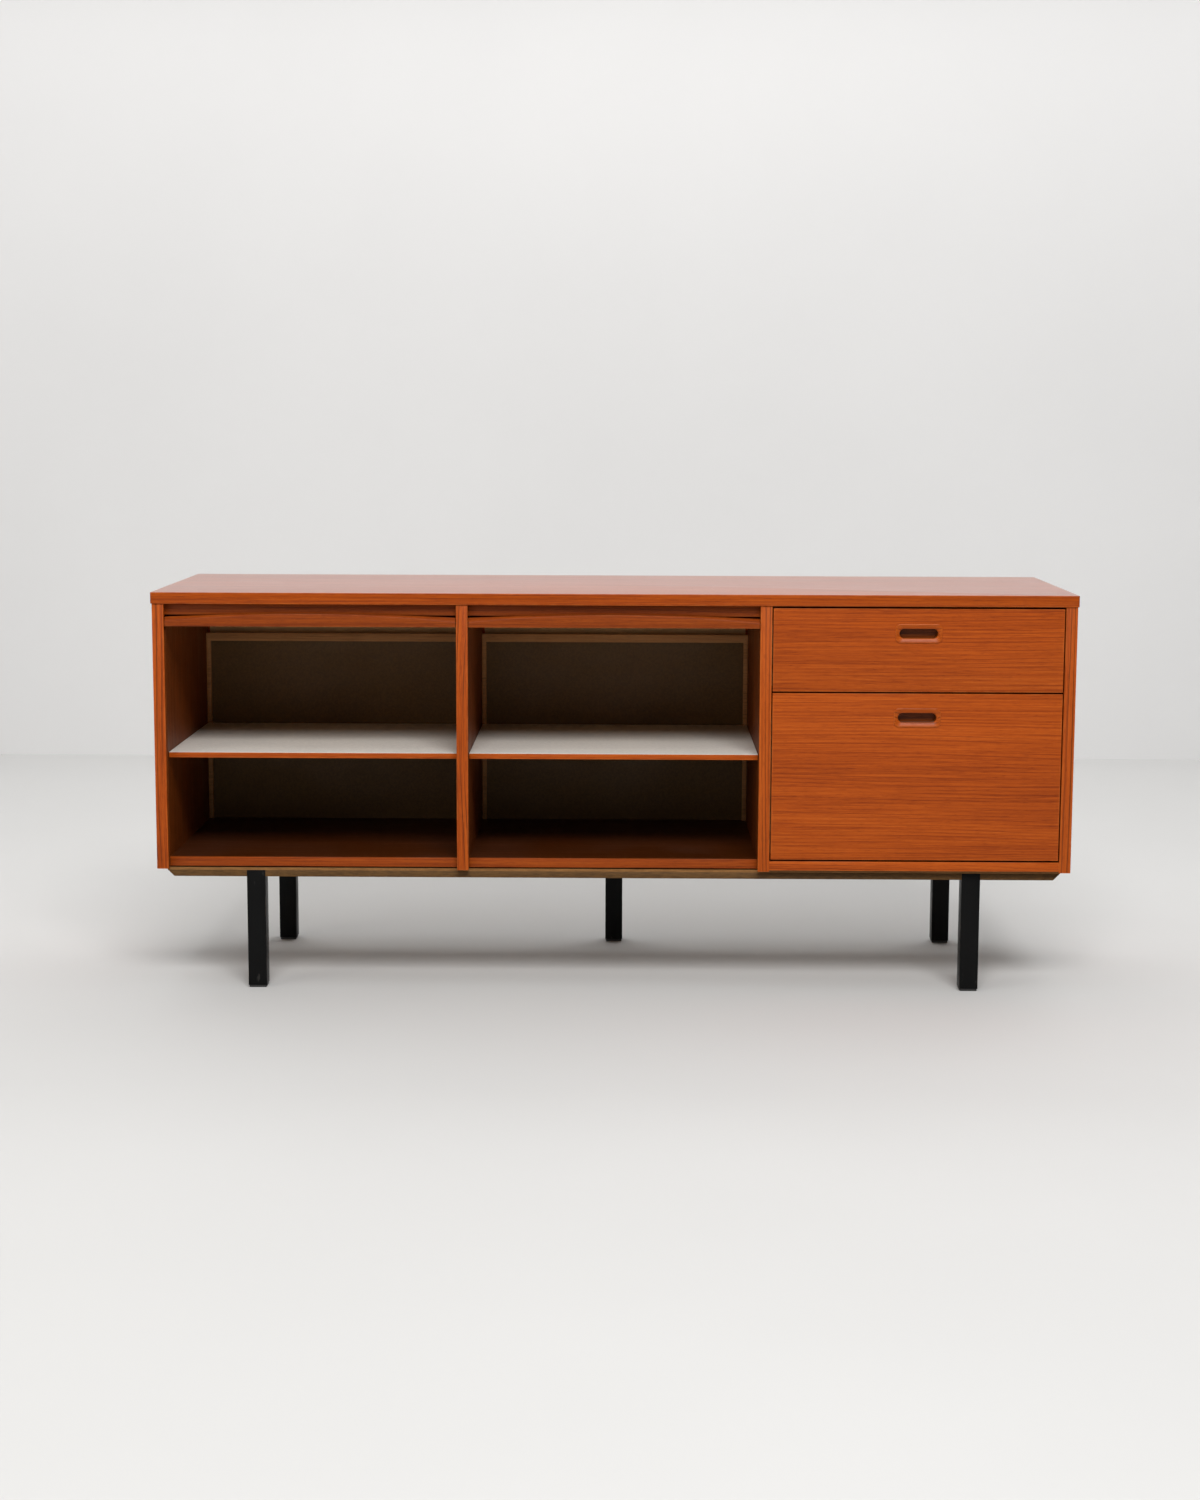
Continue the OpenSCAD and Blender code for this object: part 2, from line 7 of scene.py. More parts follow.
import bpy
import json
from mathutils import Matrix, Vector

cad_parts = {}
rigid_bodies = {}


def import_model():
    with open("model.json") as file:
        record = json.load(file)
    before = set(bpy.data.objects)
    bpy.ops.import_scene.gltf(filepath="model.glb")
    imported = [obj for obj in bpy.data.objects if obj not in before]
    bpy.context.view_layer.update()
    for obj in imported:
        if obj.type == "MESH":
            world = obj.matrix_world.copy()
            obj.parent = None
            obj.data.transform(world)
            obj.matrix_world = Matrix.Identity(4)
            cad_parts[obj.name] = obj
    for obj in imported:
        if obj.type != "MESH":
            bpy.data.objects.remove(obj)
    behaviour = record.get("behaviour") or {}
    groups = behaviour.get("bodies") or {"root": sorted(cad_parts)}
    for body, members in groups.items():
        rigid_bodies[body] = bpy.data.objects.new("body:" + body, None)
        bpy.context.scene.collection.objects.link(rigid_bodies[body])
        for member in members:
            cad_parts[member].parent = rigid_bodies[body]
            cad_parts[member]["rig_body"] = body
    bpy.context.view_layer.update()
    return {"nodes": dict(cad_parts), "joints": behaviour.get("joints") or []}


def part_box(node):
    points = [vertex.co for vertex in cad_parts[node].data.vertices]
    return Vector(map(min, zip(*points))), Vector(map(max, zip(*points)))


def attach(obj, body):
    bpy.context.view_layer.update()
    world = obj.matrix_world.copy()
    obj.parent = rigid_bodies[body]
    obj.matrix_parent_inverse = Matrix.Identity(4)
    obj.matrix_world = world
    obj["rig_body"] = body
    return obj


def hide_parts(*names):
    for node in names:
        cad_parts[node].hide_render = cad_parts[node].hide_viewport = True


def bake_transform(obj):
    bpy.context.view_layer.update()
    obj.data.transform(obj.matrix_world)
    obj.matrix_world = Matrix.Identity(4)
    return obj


bl_info = {
    "name": "Tambour sideboard",
    "version": (1, 0, 0),
    "blender": (4, 5, 0),
    "location": "3D View > Sidebar > Sideboard",
    "description": "Builds a teak sideboard with tambour bays and drawers around its frame",
    "category": "Object",
}

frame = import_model()

import json
import math

import bmesh
import bpy
from bpy.props import FloatProperty, FloatVectorProperty, IntProperty, PointerProperty
from mathutils import Matrix, Vector

TRAVEL = {joint["child"]: joint["range_m"][1] for joint in frame["joints"]}
BAYS = ("left", "middle")
DRAWERS = ("upper", "lower")
MM = 0.001
TOUCH = 0.02 * MM  # two places closer than this meet
MERGE = 0.001 * MM  # doubles closer than this are one vertex
FLAT = math.radians(0.05)  # faces that meet under this angle are one face
SQUARE = math.radians(40)  # edges sharper than this are arrises
SHORT = 3.9 * MM  # edges shorter than this belong to holes
RAIL_CUTS = 39  # cuts along a lead rail that carry its arch
CANVAS_BEND = 46 * MM  # radius of the canvas's turn down behind the false back
CANVAS_STEP = 6 * MM  # length of one row of the canvas's grid
CANVAS_COLUMNS = 12
STAGE_SIZE = 24.0
RINGS = 150.0  # growth rings in a metre
DUST = (0.6, 0.55, 0.5, 1.0)
BOARD_DUST = (0.6, 0.57, 0.52, 1.0)


# ---------------------------------------------------------------- what a user may change

def length(name, description, default):
    return FloatProperty(name=name, description=description, default=default, unit="LENGTH",
                         min=0.0, precision=5)


def colour(name, description, default):
    return FloatVectorProperty(name=name, description=description, default=default,
                               subtype="COLOR", size=3, min=0.0, max=1.0)


def angle(name, description, default):
    return FloatProperty(name=name, description=description, default=default, unit="ROTATION")


def power(name, description, default):
    return FloatProperty(name=name, description=description, default=default, unit="POWER",
                         min=0.0)


class SideboardSizes(bpy.types.PropertyGroup):
    """Roundings and thin parts that the frame does not carry."""

    top_corner: length("Top corner", "Radius of the top's upright corners", 4 * MM)
    top_arris: length("Top arris", "Rounding of the top's long edges", 1.2 * MM)
    board_arris: length("Board arris", "Rounding of the edges of the carcass boards", 0.7 * MM)
    fine_arris: length("Fine arris", "Rounding of lippings, beads and aprons", 0.5 * MM)
    rail_arris: length("Rail arris", "Rounding of the lead rails' edges", 0.35 * MM)
    rail_slope: length("Slope run", "Depth of the lead rail's sloped face at its ends", 7.8 * MM)
    rail_lip: length("Finger lip", "Height of the lead rail's lip at its ends", 8.5 * MM)
    rail_end: length("Rail end", "Height of the lead rail at its ends", 16 * MM)
    rail_ease: length("Rail ease", "Height of the slope in the middle of the lead rail", 0.7 * MM)
    tongue: length("Tongue", "How far a lead rail's tongue stands past its end", 6.6 * MM)
    slat_round: length("Slat rounding", "Rounding of a slat's long edges", 1.3 * MM)
    slats: IntProperty(name="Closing slats", description="Slats shown when a curtain is closed",
                       default=35, min=30, max=36)
    cloth: length("Canvas", "Thickness of the canvas behind the slats", 0.8 * MM)
    laminate: length("Laminate", "Thickness of the laminate on the shelves", 0.8 * MM)
    leg_arris: length("Leg arris", "Rounding of the legs' edges", 1.0 * MM)
    screw_head: length("Screw head", "Radius of the heads of the back's screws", 3.4 * MM)


class SideboardColours(bpy.types.PropertyGroup):
    """Base colours of the finishes, before their grain and wear."""

    teak_dark: colour("Teak, dark", "Late growth and dark streaks", (0.215, 0.0310, 0.0012))
    teak: colour("Teak", "Main tone of the oiled teak", (0.385, 0.0650, 0.0030))
    teak_light: colour("Teak, light", "Light streaks", (0.480, 0.0980, 0.0075))
    teak_worn: colour("Teak, worn", "Rubbed edges", (0.520, 0.1250, 0.0180))
    # Painted shade: the three inner tones darken the teak where the bays and the handles' slots lie
    # in shade, on the inner faces, the bay floors and the slots.
    inner_dark: colour("Inner teak, dark", "Dark streaks inside the bays", (0.075, 0.0150, 0.0010))
    inner: colour("Inner teak", "Teak inside the bays, kept from the sun", (0.155, 0.0320, 0.0022))
    inner_light: colour("Inner teak, light", "Light streaks inside the bays",
                        (0.215, 0.0480, 0.0040))
    beech_dark: colour("Beech, dark", "Flecks of the drawer sides", (0.400, 0.215, 0.095))
    beech: colour("Beech", "Main tone of the drawer sides", (0.560, 0.350, 0.175))
    bead_dark: colour("Bead, dark", "Dark grain of the beads", (0.300, 0.140, 0.050))
    bead: colour("Bead", "Main tone of the beads", (0.560, 0.270, 0.105))
    raw_dark: colour("Raw board, dark", "Dark chips of the base", (0.070, 0.034, 0.010))
    raw: colour("Raw board", "Main tone of the base", (0.125, 0.060, 0.017))
    panel_dark: colour("Base panel, dark", "Dark grain of the base panel", (0.150, 0.066, 0.018))
    panel: colour("Base panel", "Main tone of the thin panel under the carcass",
                  (0.265, 0.122, 0.036))
    hardboard_dark: colour("Hardboard, dark", "Dark fibres", (0.112, 0.0560, 0.0125))
    hardboard: colour("Hardboard", "Main tone of the false backs", (0.155, 0.0785, 0.0180))
    laminate: colour("Laminate", "Face of the shelves", (0.670, 0.635, 0.585))
    canvas: colour("Canvas", "Cotton behind the slats", (0.620, 0.370, 0.170))
    lacquer: colour("Lacquer", "Black of the legs", (0.0026, 0.0026, 0.0026))
    steel: colour("Steel", "Zinc of screws and pins", (0.560, 0.560, 0.545))


class SideboardStage(bpy.types.PropertyGroup):
    """Camera, floor, backdrop and lights."""

    camera_place: FloatVectorProperty(
        name="Camera", description="Where the camera stands", size=3, subtype="TRANSLATION",
        unit="LENGTH", default=(0.01872, -4.4438, 1.01321))
    camera_turn: angle("Turn", "Camera's turn to the left", 0.0100)
    camera_tilt: angle("Tilt", "Camera's tilt downwards", 0.138)
    camera_roll: angle("Roll", "Camera's roll", 0.0033)
    camera_lens: FloatProperty(name="Lens", description="Focal length of the camera",
                               default=58.74, unit="CAMERA")
    wall_place: length("Backdrop", "Distance of the backdrop behind the middle", 2.7)
    floor: colour("Floor", "Pale floor", (0.60, 0.595, 0.585))
    wall: colour("Backdrop", "Pale backdrop", (0.715, 0.710, 0.705))
    sky: FloatProperty(name="Room light", description="Strength of the light all round",
                       default=0.17, min=0.0)
    key: power("Key", "Power of the soft light high in front", 470.0)
    fill: power("Fill", "Power of the soft light low at the left", 25.0)
    overhead: power("Overhead", "Power of the soft light above", 95.0)
    rear: power("Rear", "Power of the soft light above the backdrop's foot", 31.0)


# ---------------------------------------------------------------- modelling helpers

def only(piece):
    """Makes a piece the one selected and active object."""
    bpy.ops.object.select_all(action="DESELECT")
    piece.select_set(True)
    bpy.context.view_layer.objects.active = piece


def primitive(add, name, **settings):
    """Adds a primitive mesh with nothing else selected, and names it."""
    bpy.ops.object.select_all(action="DESELECT")
    add(**settings)
    piece = bpy.context.object
    piece.name = piece.data.name = name
    return piece


def apply_place(piece):
    """Moves the selected piece's place, turn and size into its mesh."""
    bpy.ops.object.transform_apply(location=True, rotation=True, scale=True)
    return piece


def edit(piece):
    """Goes into edit mode on one piece with its whole mesh selected."""
    only(piece)
    bpy.ops.object.mode_set(mode="EDIT")
    bpy.ops.mesh.select_all(action="SELECT")


def finish_edit(piece):
    bpy.ops.object.mode_set(mode="OBJECT")
    return piece


def add_box(name, low, high):
    """A cube primitive stretched between two corners, with its place in its mesh."""
    low = Vector(low)
    high = Vector(high)
    piece = primitive(bpy.ops.mesh.primitive_cube_add, name, size=1, location=(low + high) / 2)
    piece.scale = high - low
    return apply_place(piece)


def add_object(name, mesh):
    """A new object at the origin that holds a mesh."""
    piece = bpy.data.objects.new(name, mesh)
    mesh.name = name
    bpy.context.scene.collection.objects.link(piece)
    return piece


def copy_node(node, name):
    """A merged copy of a CAD node's mesh, its flat faces whole again."""
    piece = add_object(name, frame["nodes"][node].data.copy())
    piece.data.materials.clear()
    only(piece)
    bpy.ops.mesh.customdata_custom_splitnormals_clear()
    edit(piece)
    bpy.ops.mesh.remove_doubles(threshold=TOUCH)
    bpy.ops.mesh.dissolve_limited(angle_limit=FLAT)
    return finish_edit(piece)


def select_edges(piece, test):
    """Goes into edit mode and selects the edges that pass a test."""
    only(piece)
    bpy.ops.object.mode_set(mode="EDIT")
    bpy.ops.mesh.select_mode(type="EDGE")
    bpy.ops.mesh.select_all(action="DESELECT")
    mesh = bmesh.from_edit_mesh(piece.data)
    for edge in mesh.edges:
        if test(edge):
            edge.select_set(True)
    bmesh.update_edit_mesh(piece.data)


def ease(piece, width, test, segments=2):
    """Rounds the edges that pass a test."""
    select_edges(piece, test)
    bpy.ops.mesh.bevel(offset=width, segments=segments, affect="EDGES", clamp_overlap=False)
    return finish_edit(piece)


def box_edge(piece):
    """A test for the edges along the box around a piece: both ends lie on the same two faces."""
    corners = [Vector(corner) for corner in piece.bound_box]
    low = Vector(map(min, *corners))
    high = Vector(map(max, *corners))

    def faces(point):
        found = {(axis, 0) for axis in range(3) if point[axis] - low[axis] < TOUCH}
        return found | {(axis, 1) for axis in range(3) if high[axis] - point[axis] < TOUCH}

    return lambda edge: len(faces(edge.verts[0].co) & faces(edge.verts[1].co)) == 2


def arris(edge):
    """A test for every long outer edge between faces that meet nearly square."""
    square = len(edge.link_faces) == 2 and edge.calc_face_angle_signed() > SQUARE
    return square and edge.calc_length() > SHORT


def long_arris(edge):
    """A test for outer edges that run along X."""
    return arris(edge) and abs(edge.verts[0].co.x - edge.verts[1].co.x) > 0.9 * edge.calc_length()


def upright(edge):
    """A test for edges that run along Z."""
    return abs(edge.verts[0].co.z - edge.verts[1].co.z) > 0.99 * edge.calc_length()


def eased_copy(node, ending, width, test=None):
    """A copy of a CAD node with rounded edges: those around its box, or those that pass a test."""
    piece = copy_node(node, f"{node}_{ending}")
    return ease(piece, width, test or box_edge(piece))


def join(name, pieces):
    """Joins pieces into one mesh."""
    only(pieces[0])
    for piece in pieces:
        piece.select_set(True)
    bpy.ops.object.join()
    pieces[0].name = pieces[0].data.name = name
    return pieces[0]


def repeat(piece, shifts):
    """Copies of a piece at each shift, joined into one. The piece itself is used up."""
    copies = []
    for shift in shifts:
        mesh = piece.data.copy()
        mesh.transform(Matrix.Translation(Vector(shift)))
        copies.append(add_object("copy", mesh))
    name = piece.name
    bpy.data.objects.remove(piece)
    return join(name, copies)


def tidy_normals(piece):
    """Merges doubles and turns every face outwards."""
    edit(piece)
    bpy.ops.mesh.remove_doubles(threshold=MERGE)
    bpy.ops.mesh.normals_make_consistent(inside=False)
    return finish_edit(piece)


def smooth(piece, degrees=32):
    """Smooth shading on all but the edges sharper than an angle."""
    only(piece)
    bpy.ops.object.shade_smooth_by_angle(angle=math.radians(degrees))


def solids(node):
    """The boxes of the separate solids in a CAD node, as (lowest, highest) corners."""
    mesh = bmesh.new()
    mesh.from_mesh(frame["nodes"][node].data)
    bmesh.ops.remove_doubles(mesh, verts=mesh.verts, dist=MERGE)
    seen = set()
    boxes = []
    for first in mesh.verts:
        if first in seen:
            continue
        island = [first]
        seen.add(first)
        for vertex in island:
            near = {edge.other_vert(vertex) for edge in vertex.link_edges} - seen
            seen |= near
            island.extend(near)
        places = [vertex.co.copy() for vertex in island]
        boxes.append((Vector(map(min, *places)), Vector(map(max, *places))))
    mesh.free()
    return sorted(boxes, key=lambda box: tuple(round(value, 4) for value in box[0]))


def place_piece(piece, material, node):
    """Shades a finished piece, paints it and hangs it on the body of the node it stands for."""
    smooth(piece)
    piece.data.materials.clear()
    piece.data.materials.append(material)
    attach(piece, frame["nodes"][node]["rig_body"])
    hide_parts(node)
    return piece


def paint_node(node, material):
    """Gives a CAD node that stays in view its finish."""
    frame["nodes"][node].material_slots[0].material = material


# ---------------------------------------------------------------- shader helpers

def darker(tones, share):
    """Tones cut to a share of themselves."""
    return [[value * share for value in tone] for tone in tones]


def rgba(values, share=1.0):
    """A colour times a share, with its alpha."""
    return (*(value * share for value in values), 1.0)


class Tree:
    """Adds shader nodes to one node tree and joins them by their sockets."""

    def __init__(self, tree):
        self.tree = tree

    def feed(self, socket, value):
        if isinstance(value, bpy.types.NodeSocket):
            self.tree.links.new(value, socket)
        else:
            socket.default_value = value

    def add(self, kind, values=None, **settings):
        node = self.tree.nodes.new("ShaderNode" + kind)
        for name, setting in settings.items():
            setattr(node, name, setting)
        for socket, value in (values or {}).items():
            self.feed(node.inputs[socket], value)
        return node

    def math(self, operation, *values, clamp=False):
        node = self.add("Math", dict(enumerate(values)), operation=operation, use_clamp=clamp)
        return node.outputs[0]

    def times(self, first, second):
        return self.math("MULTIPLY", first, second)

    def times_add(self, first, second, third, clamp=False):
        return self.math("MULTIPLY_ADD", first, second, third, clamp=clamp)

    def around(self, value, share, middle, clamp=False):
        """Adds a share of how far a value is from one half."""
        return self.times_add(self.math("SUBTRACT", value, 0.5), share, middle, clamp)

    def vector(self, operation, *values):
        return self.add("VectorMath", dict(enumerate(values)), operation=operation).outputs[0]

    def split(self, place):
        return self.add("SeparateXYZ", {0: place}).outputs

    def combine(self, x, y, z):
        return self.add("CombineXYZ", {0: x, 1: y, 2: z}).outputs[0]

    def noise(self, place, stretch, detail=2.0, roughness=0.5):
        """Noise whose features are 1 / stretch metres long each way."""
        stretched = self.vector("MULTIPLY", place, stretch)
        values = {"Vector": stretched, "Scale": 1.0, "Detail": detail, "Roughness": roughness}
        return self.add("TexNoise", values).outputs["Fac"]

    def ease(self, value, low, high, to_low=0.0, to_high=1.0):
        values = {"Value": value, "From Min": low, "From Max": high,
                  "To Min": to_low, "To Max": to_high}
        return self.add("MapRange", values, interpolation_type="SMOOTHSTEP").outputs[0]

    def blend(self, share, first, second, how="MIX"):
        node = self.add("Mix", {0: share, 6: first, 7: second}, data_type="RGBA", blend_type=how)
        return node.outputs[2]

    def ramp(self, tone, dark, main, light):
        node = self.add("ValToRGB", {"Fac": tone})
        stops = node.color_ramp.elements
        stops[0].position = 0.15
        stops[0].color = dark
        stops[1].position = 0.88
        stops[1].color = light
        stops.new(0.52).color = main
        return node.outputs[0]

    def group(self, tree, values):
        return self.add("Group", values, node_tree=tree).outputs


def shader_group(name, inputs, build):
    """A node group with named inputs. build returns the value of each named output."""
    if name in bpy.data.node_groups:
        return bpy.data.node_groups[name]
    group = bpy.data.node_groups.new(name, "ShaderNodeTree")
    for title, kind in inputs.items():
        group.interface.new_socket(name=title, in_out="INPUT", socket_type="NodeSocket" + kind)
    tree = Tree(group)
    results = build(tree, group.nodes.new("NodeGroupInput").outputs)
    for title in results:
        group.interface.new_socket(name=title, in_out="OUTPUT", socket_type="NodeSocketFloat")
    taken = group.nodes.new("NodeGroupOutput").inputs
    for title, value in results.items():
        tree.feed(taken[title], value)
    return group


def grain_group():
    """Wood grain along X: soft bands, fine streaks, thin dark lines and open pores."""

    def build(tree, given):
        place = given["Place"]
        sway = tree.math("SUBTRACT", tree.noise(place, (1.6, 6, 6), 1.0), 0.5)
        sway = tree.times(sway, given["Sway"])
        place = tree.vector("ADD", place, tree.combine(0.0, sway, sway))
        band = tree.noise(place, (0.9, 21, 21), 1.0)
        streak = tree.noise(place, (3.2, 300, 300), 4.0, 0.7)
        fibre = tree.noise(place, (22, 2000, 2000), 2.0, 0.6)
        _, over, up = tree.split(place)
        rings = tree.times(tree.math("ADD", over, up), given["Rings"])
        drift = tree.times(tree.noise(place, (0.8, 9, 9), 1.0), 9.0)
        ring = tree.math("FRACT", tree.math("ADD", rings, drift))
        line = tree.times(tree.ease(ring, 0.58, 0.9), tree.ease(ring, 1.0, 0.9))
        faint = tree.ease(tree.noise(place, (3.2, 90, 90), 1.0), 0.38, 0.62, 0.15, 1.0)
        line = tree.times(line, faint)
        tone = tree.around(band, 0.6, 0.5)
        tone = tree.around(streak, 1.2, tone)
        tone = tree.around(fibre, 1.0, tone, clamp=True)
        pore = tree.ease(tree.noise(place, (60, 2100, 2100), 1.0), 0.60, 0.70)
        height = tree.times_add(pore, -0.8, tree.times(fibre, 0.4))
        return {"Tone": tone, "Line": line, "Pore": pore, "Height": height}

    inputs = {"Place": "Vector", "Sway": "Float", "Rings": "Float"}
    return shader_group("Wood grain", inputs, build)


def wear_group():
    """Where hands have rubbed the edges of the box that a piece fills, in patches."""

    def build(tree, given):
        place = given["Place"]
        inward = tree.vector("SUBTRACT", place, given["Low"])
        outward = tree.vector("SUBTRACT", given["High"], place)
        a, b, c = tree.split(tree.vector("MINIMUM", inward, outward))
        middle = tree.math("MAXIMUM", tree.math("MINIMUM", a, b),
                           tree.math("MINIMUM", tree.math("MAXIMUM", a, b), c))
        patch = tree.noise(place, (38, 38, 38), 3.0, 0.6)
        reach = tree.times(given["Reach"], tree.ease(patch, 0.35, 0.7, 0.3, 1.6))
        near = tree.math("SUBTRACT", 1.0, tree.math("DIVIDE", middle, reach), clamp=True)
        return {"Wear": tree.times(near, tree.ease(patch, 0.3, 0.6, 0.35, 1.0))}

    inputs = {"Place": "Vector", "Low": "Vector", "High": "Vector", "Reach": "Float"}
    return shader_group("Edge wear", inputs, build)


def handling_group():
    """Smudges from handling and polish, and dust that settles in patches on level faces."""

    def build(tree, given):
        place = given["Place"]
        cloud = tree.noise(place, (5, 5, 5), 3.0, 0.55)
        wipe = tree.noise(place, (9, 70, 70), 2.0)
        smudge = tree.times_add(wipe, 0.4, tree.times(cloud, 0.6))
        up = tree.split(given["Normal"])[2]
        dust = tree.times(tree.ease(up, 0.7, 0.95), tree.ease(cloud, 0.4, 0.7))
        return {"Smudge": smudge, "Dust": dust}

    return shader_group("Handling", {"Place": "Vector", "Normal": "Vector"}, build)


def speckle_group():
    """Mottle, chips and fine speckle of pressed board, laminate and moulded plastic."""

    def build(tree, given):
        place = given["Place"]
        grain = given["Grain"]
        cloud = tree.noise(place, (7, 7, 7), 3.0)
        chip = tree.noise(tree.vector("MULTIPLY", place, grain), (1, 1, 1), 3.0, 0.65)
        fine = tree.noise(tree.vector("MULTIPLY", place, grain), (6, 6, 6), 2.0, 0.7)
        mix = tree.around(cloud, 0.3, 0.5)
        mix = tree.around(chip, 1.3, mix)
        mix = tree.around(fine, 0.9, mix, clamp=True)
        height = tree.times_add(chip, 0.6, tree.times(fine, 0.4))
        return {"Tone": mix, "Cloud": cloud, "Height": height}

    return shader_group("Speckle", {"Place": "Vector", "Grain": "Vector"}, build)


# ---------------------------------------------------------------- finishes

ALONG = {"X": (0.0, 0.0, 0.0), "Y": (0.0, 0.0, -math.pi / 2), "Z": (0.0, math.pi / 2, 0.0)}


def palette():
    return bpy.context.scene.sideboard_colours


def new_material(name):
    """An empty material, its node helper, and its shader joined to the output."""
    material = bpy.data.materials.new(name)
    material.use_nodes = True
    tree = Tree(material.node_tree)
    material.node_tree.nodes.clear()
    shader = tree.add("BsdfPrincipled")
    tree.add("OutputMaterial", {"Surface": shader.outputs[0]})
    return material, tree, shader


def dress(made, shade, rough, bump=None, specular=0.5):
    """Joins a finish to a new material's shader. bump is a height, its strength and its depth."""
    material, tree, shader = made
    tree.feed(shader.inputs["Base Color"], shade)
    tree.feed(shader.inputs["Roughness"], rough)
    tree.feed(shader.inputs["Specular IOR Level"], specular)
    if bump:
        relief = tree.add("Bump", dict(zip(("Height", "Strength", "Distance"), bump)))
        tree.feed(shader.inputs["Normal"], relief.outputs[0])
    return material


def object_place(tree):
    return tree.add("TexCoord").outputs["Object"]


def face_normal(tree):
    return tree.add("NewGeometry").outputs["Normal"]


def shifted(tree, place, seed, step, along="X"):
    """A place moved by a step for each seed and turned so that the grain runs along an axis."""
    shift = [seed * value for value in step]
    values = {"Vector": place, "Location": shift, "Rotation": ALONG[along]}
    return tree.add("Mapping", values).outputs[0]


def wood_masks(tree, place, turned, box, sway, reach):
    """Grain along a turned place, handling, and the rubbed edges of the box a piece fills."""
    grain = tree.group(grain_group(), {"Place": turned, "Sway": sway, "Rings": RINGS})
    handled = tree.group(handling_group(), {"Place": turned, "Normal": face_normal(tree)})
    edges = {"Place": place, "Low": box[0], "High": box[1], "Reach": reach}
    return grain, handled, tree.group(wear_group(), edges)["Wear"]


def timber(name, tones, box, along="X", seed=0, finish=(0.40, 0.54), marks=(0.8, 0.4), worn=0.5,
           specular=0.16, attribute=None, inside=None, polish=0.0, dust=0.06):
    """A wooden finish: tones are dark, main, light and worn, and the grain runs along an axis.

    finish is the roughness from polished to dull, and marks are the share of lines and pores.
    inside holds the dark, main and light tones of painted shade, and a function that adds the mask
    where it is painted.
    polish is the weight of a wax coat on level faces, and dust the share of dust on them.
    """
    dark, main, light, rubbed = map(rgba, tones)
    made = new_material(name)
    _, tree, shader = made
    if attribute:
        place = tree.add("Attribute", attribute_name=attribute).outputs["Vector"]
    else:
        place = object_place(tree)
    turned = shifted(tree, place, seed, (1.37, 0.71, 0.53), along)
    grain, handled, wear = wood_masks(tree, place, turned, box, 0.011, 2.2 * MM)
    shade = tree.ramp(grain["Tone"], dark, main, light)
    if inside:
        # Painted shade: the inside tones are laid where the mask says.
        shade_tones, mask = inside
        hidden = tree.ramp(grain["Tone"], *map(rgba, shade_tones))
        shade = tree.blend(mask(tree, place), shade, hidden)
        dark = rgba(shade_tones[0])
    shade = tree.blend(tree.times(grain["Line"], marks[0]), shade, dark)
    shade = tree.blend(tree.times(grain["Pore"], marks[1]), shade, dark, "MULTIPLY")
    shade = tree.blend(tree.times(wear, worn), shade, rubbed)
    shade = tree.blend(tree.times(handled["Dust"], dust), shade, DUST)
    rough = tree.ease(handled["Smudge"], 0.3, 0.7, *finish)
    rough = tree.times_add(grain["Pore"], 0.12, rough, clamp=True)
    if polish:
        up = tree.split(face_normal(tree))[2]
        tree.feed(shader.inputs["Coat Weight"], tree.ease(up, 0.7, 0.95, 0.0, polish))
        tree.feed(shader.inputs["Coat Roughness"], 0.3)
    return dress(made, shade, rough, (grain["Height"], 0.22, 0.12 * MM), specular)


# The dark, main and light tones of the painted shade inside the bays and slots.
def inner_shade_tones():
    paint = palette()
    return (paint.inner_dark, paint.inner, paint.inner_light)


def inner_face_shade(tree, place):
    """Where shade is painted on the upright boards: 1 on their faces that look into the bays, 0 on
    their front and outer faces.
    """
    across, deep, _ = tree.split(place)
    low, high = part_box("left_side")
    behind = tree.ease(deep, low.y + 3 * MM, low.y + 14 * MM)
    between = tree.ease(tree.math("ABSOLUTE", across), -high.x + 12 * MM, -high.x + 6 * MM)
    return tree.times(behind, between)


def teak(node, along="X", seed=0, name=None, tone_and_shade=1.0, **settings):
    """Oiled teak for one board, named for it, with wear along the edges of its own box.

    Boards drawn darker than the rest have a share below 1: a darker tone on the top and handles,
    and painted shade on the aprons, lead rails and closing curtains.
    """
    paint = palette()
    tones = darker((paint.teak_dark, paint.teak, paint.teak_light, paint.teak_worn), tone_and_shade)
    return timber(name or f"oiled teak, {node}", tones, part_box(node), along, seed, **settings)


def beech(node, along="X", seed=0):
    main = palette().beech
    return timber(f"waxed beech, {node}", (palette().beech_dark, main, main, main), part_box(node),
                  along, seed, finish=(0.45, 0.6), marks=(0.15, 0.5), worn=0.3)


def pale_bead(node, seed):
    main = palette().bead
    return timber(f"pale beading, {node}", (palette().bead_dark, main, main, main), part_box(node),
                  "X", seed, finish=(0.55, 0.7), marks=(0.3, 0.3), worn=0.2)


def pressed_board(kind, seed):
    """Hardboard, raw chipboard or laminate: mottled, with chips as long as 1 / grain metres."""
    paint = palette()
    worn = darker([paint.laminate], 0.86)[0]
    dark, light, grain, finish, height, specular = {
        "brown hardboard": (paint.hardboard_dark, paint.hardboard, (260, 260, 260), (0.45, 0.62),
                            0.25, 0.3),
        "raw olive board": (paint.raw_dark, paint.raw, (60, 420, 420), (0.6, 0.75), 0.35, 0.2),
        "pale base panel": (paint.panel_dark, paint.panel, (40, 300, 300), (0.5, 0.65),
                            0.25, 0.2),
        "white laminate": (worn, paint.laminate, (150, 150, 150), (0.32, 0.45), 0.08, 0.5),
    }[kind]
    made = new_material(f"{kind} {seed}")
    tree = made[1]
    moved = shifted(tree, object_place(tree), seed, (0.91, 0.37, 1.13))
    speckle = tree.group(speckle_group(), {"Place": moved, "Grain": grain})
    handled = tree.group(handling_group(), {"Place": moved, "Normal": face_normal(tree)})
    shade = tree.blend(tree.ease(speckle["Tone"], 0.2, 0.8), rgba(dark), rgba(light))
    shade = tree.blend(tree.times(handled["Dust"], 0.05), shade, BOARD_DUST)
    rough = tree.ease(handled["Smudge"], 0.3, 0.7, *finish)
    return dress(made, shade, rough, (speckle["Height"], height, 0.15 * MM), specular)


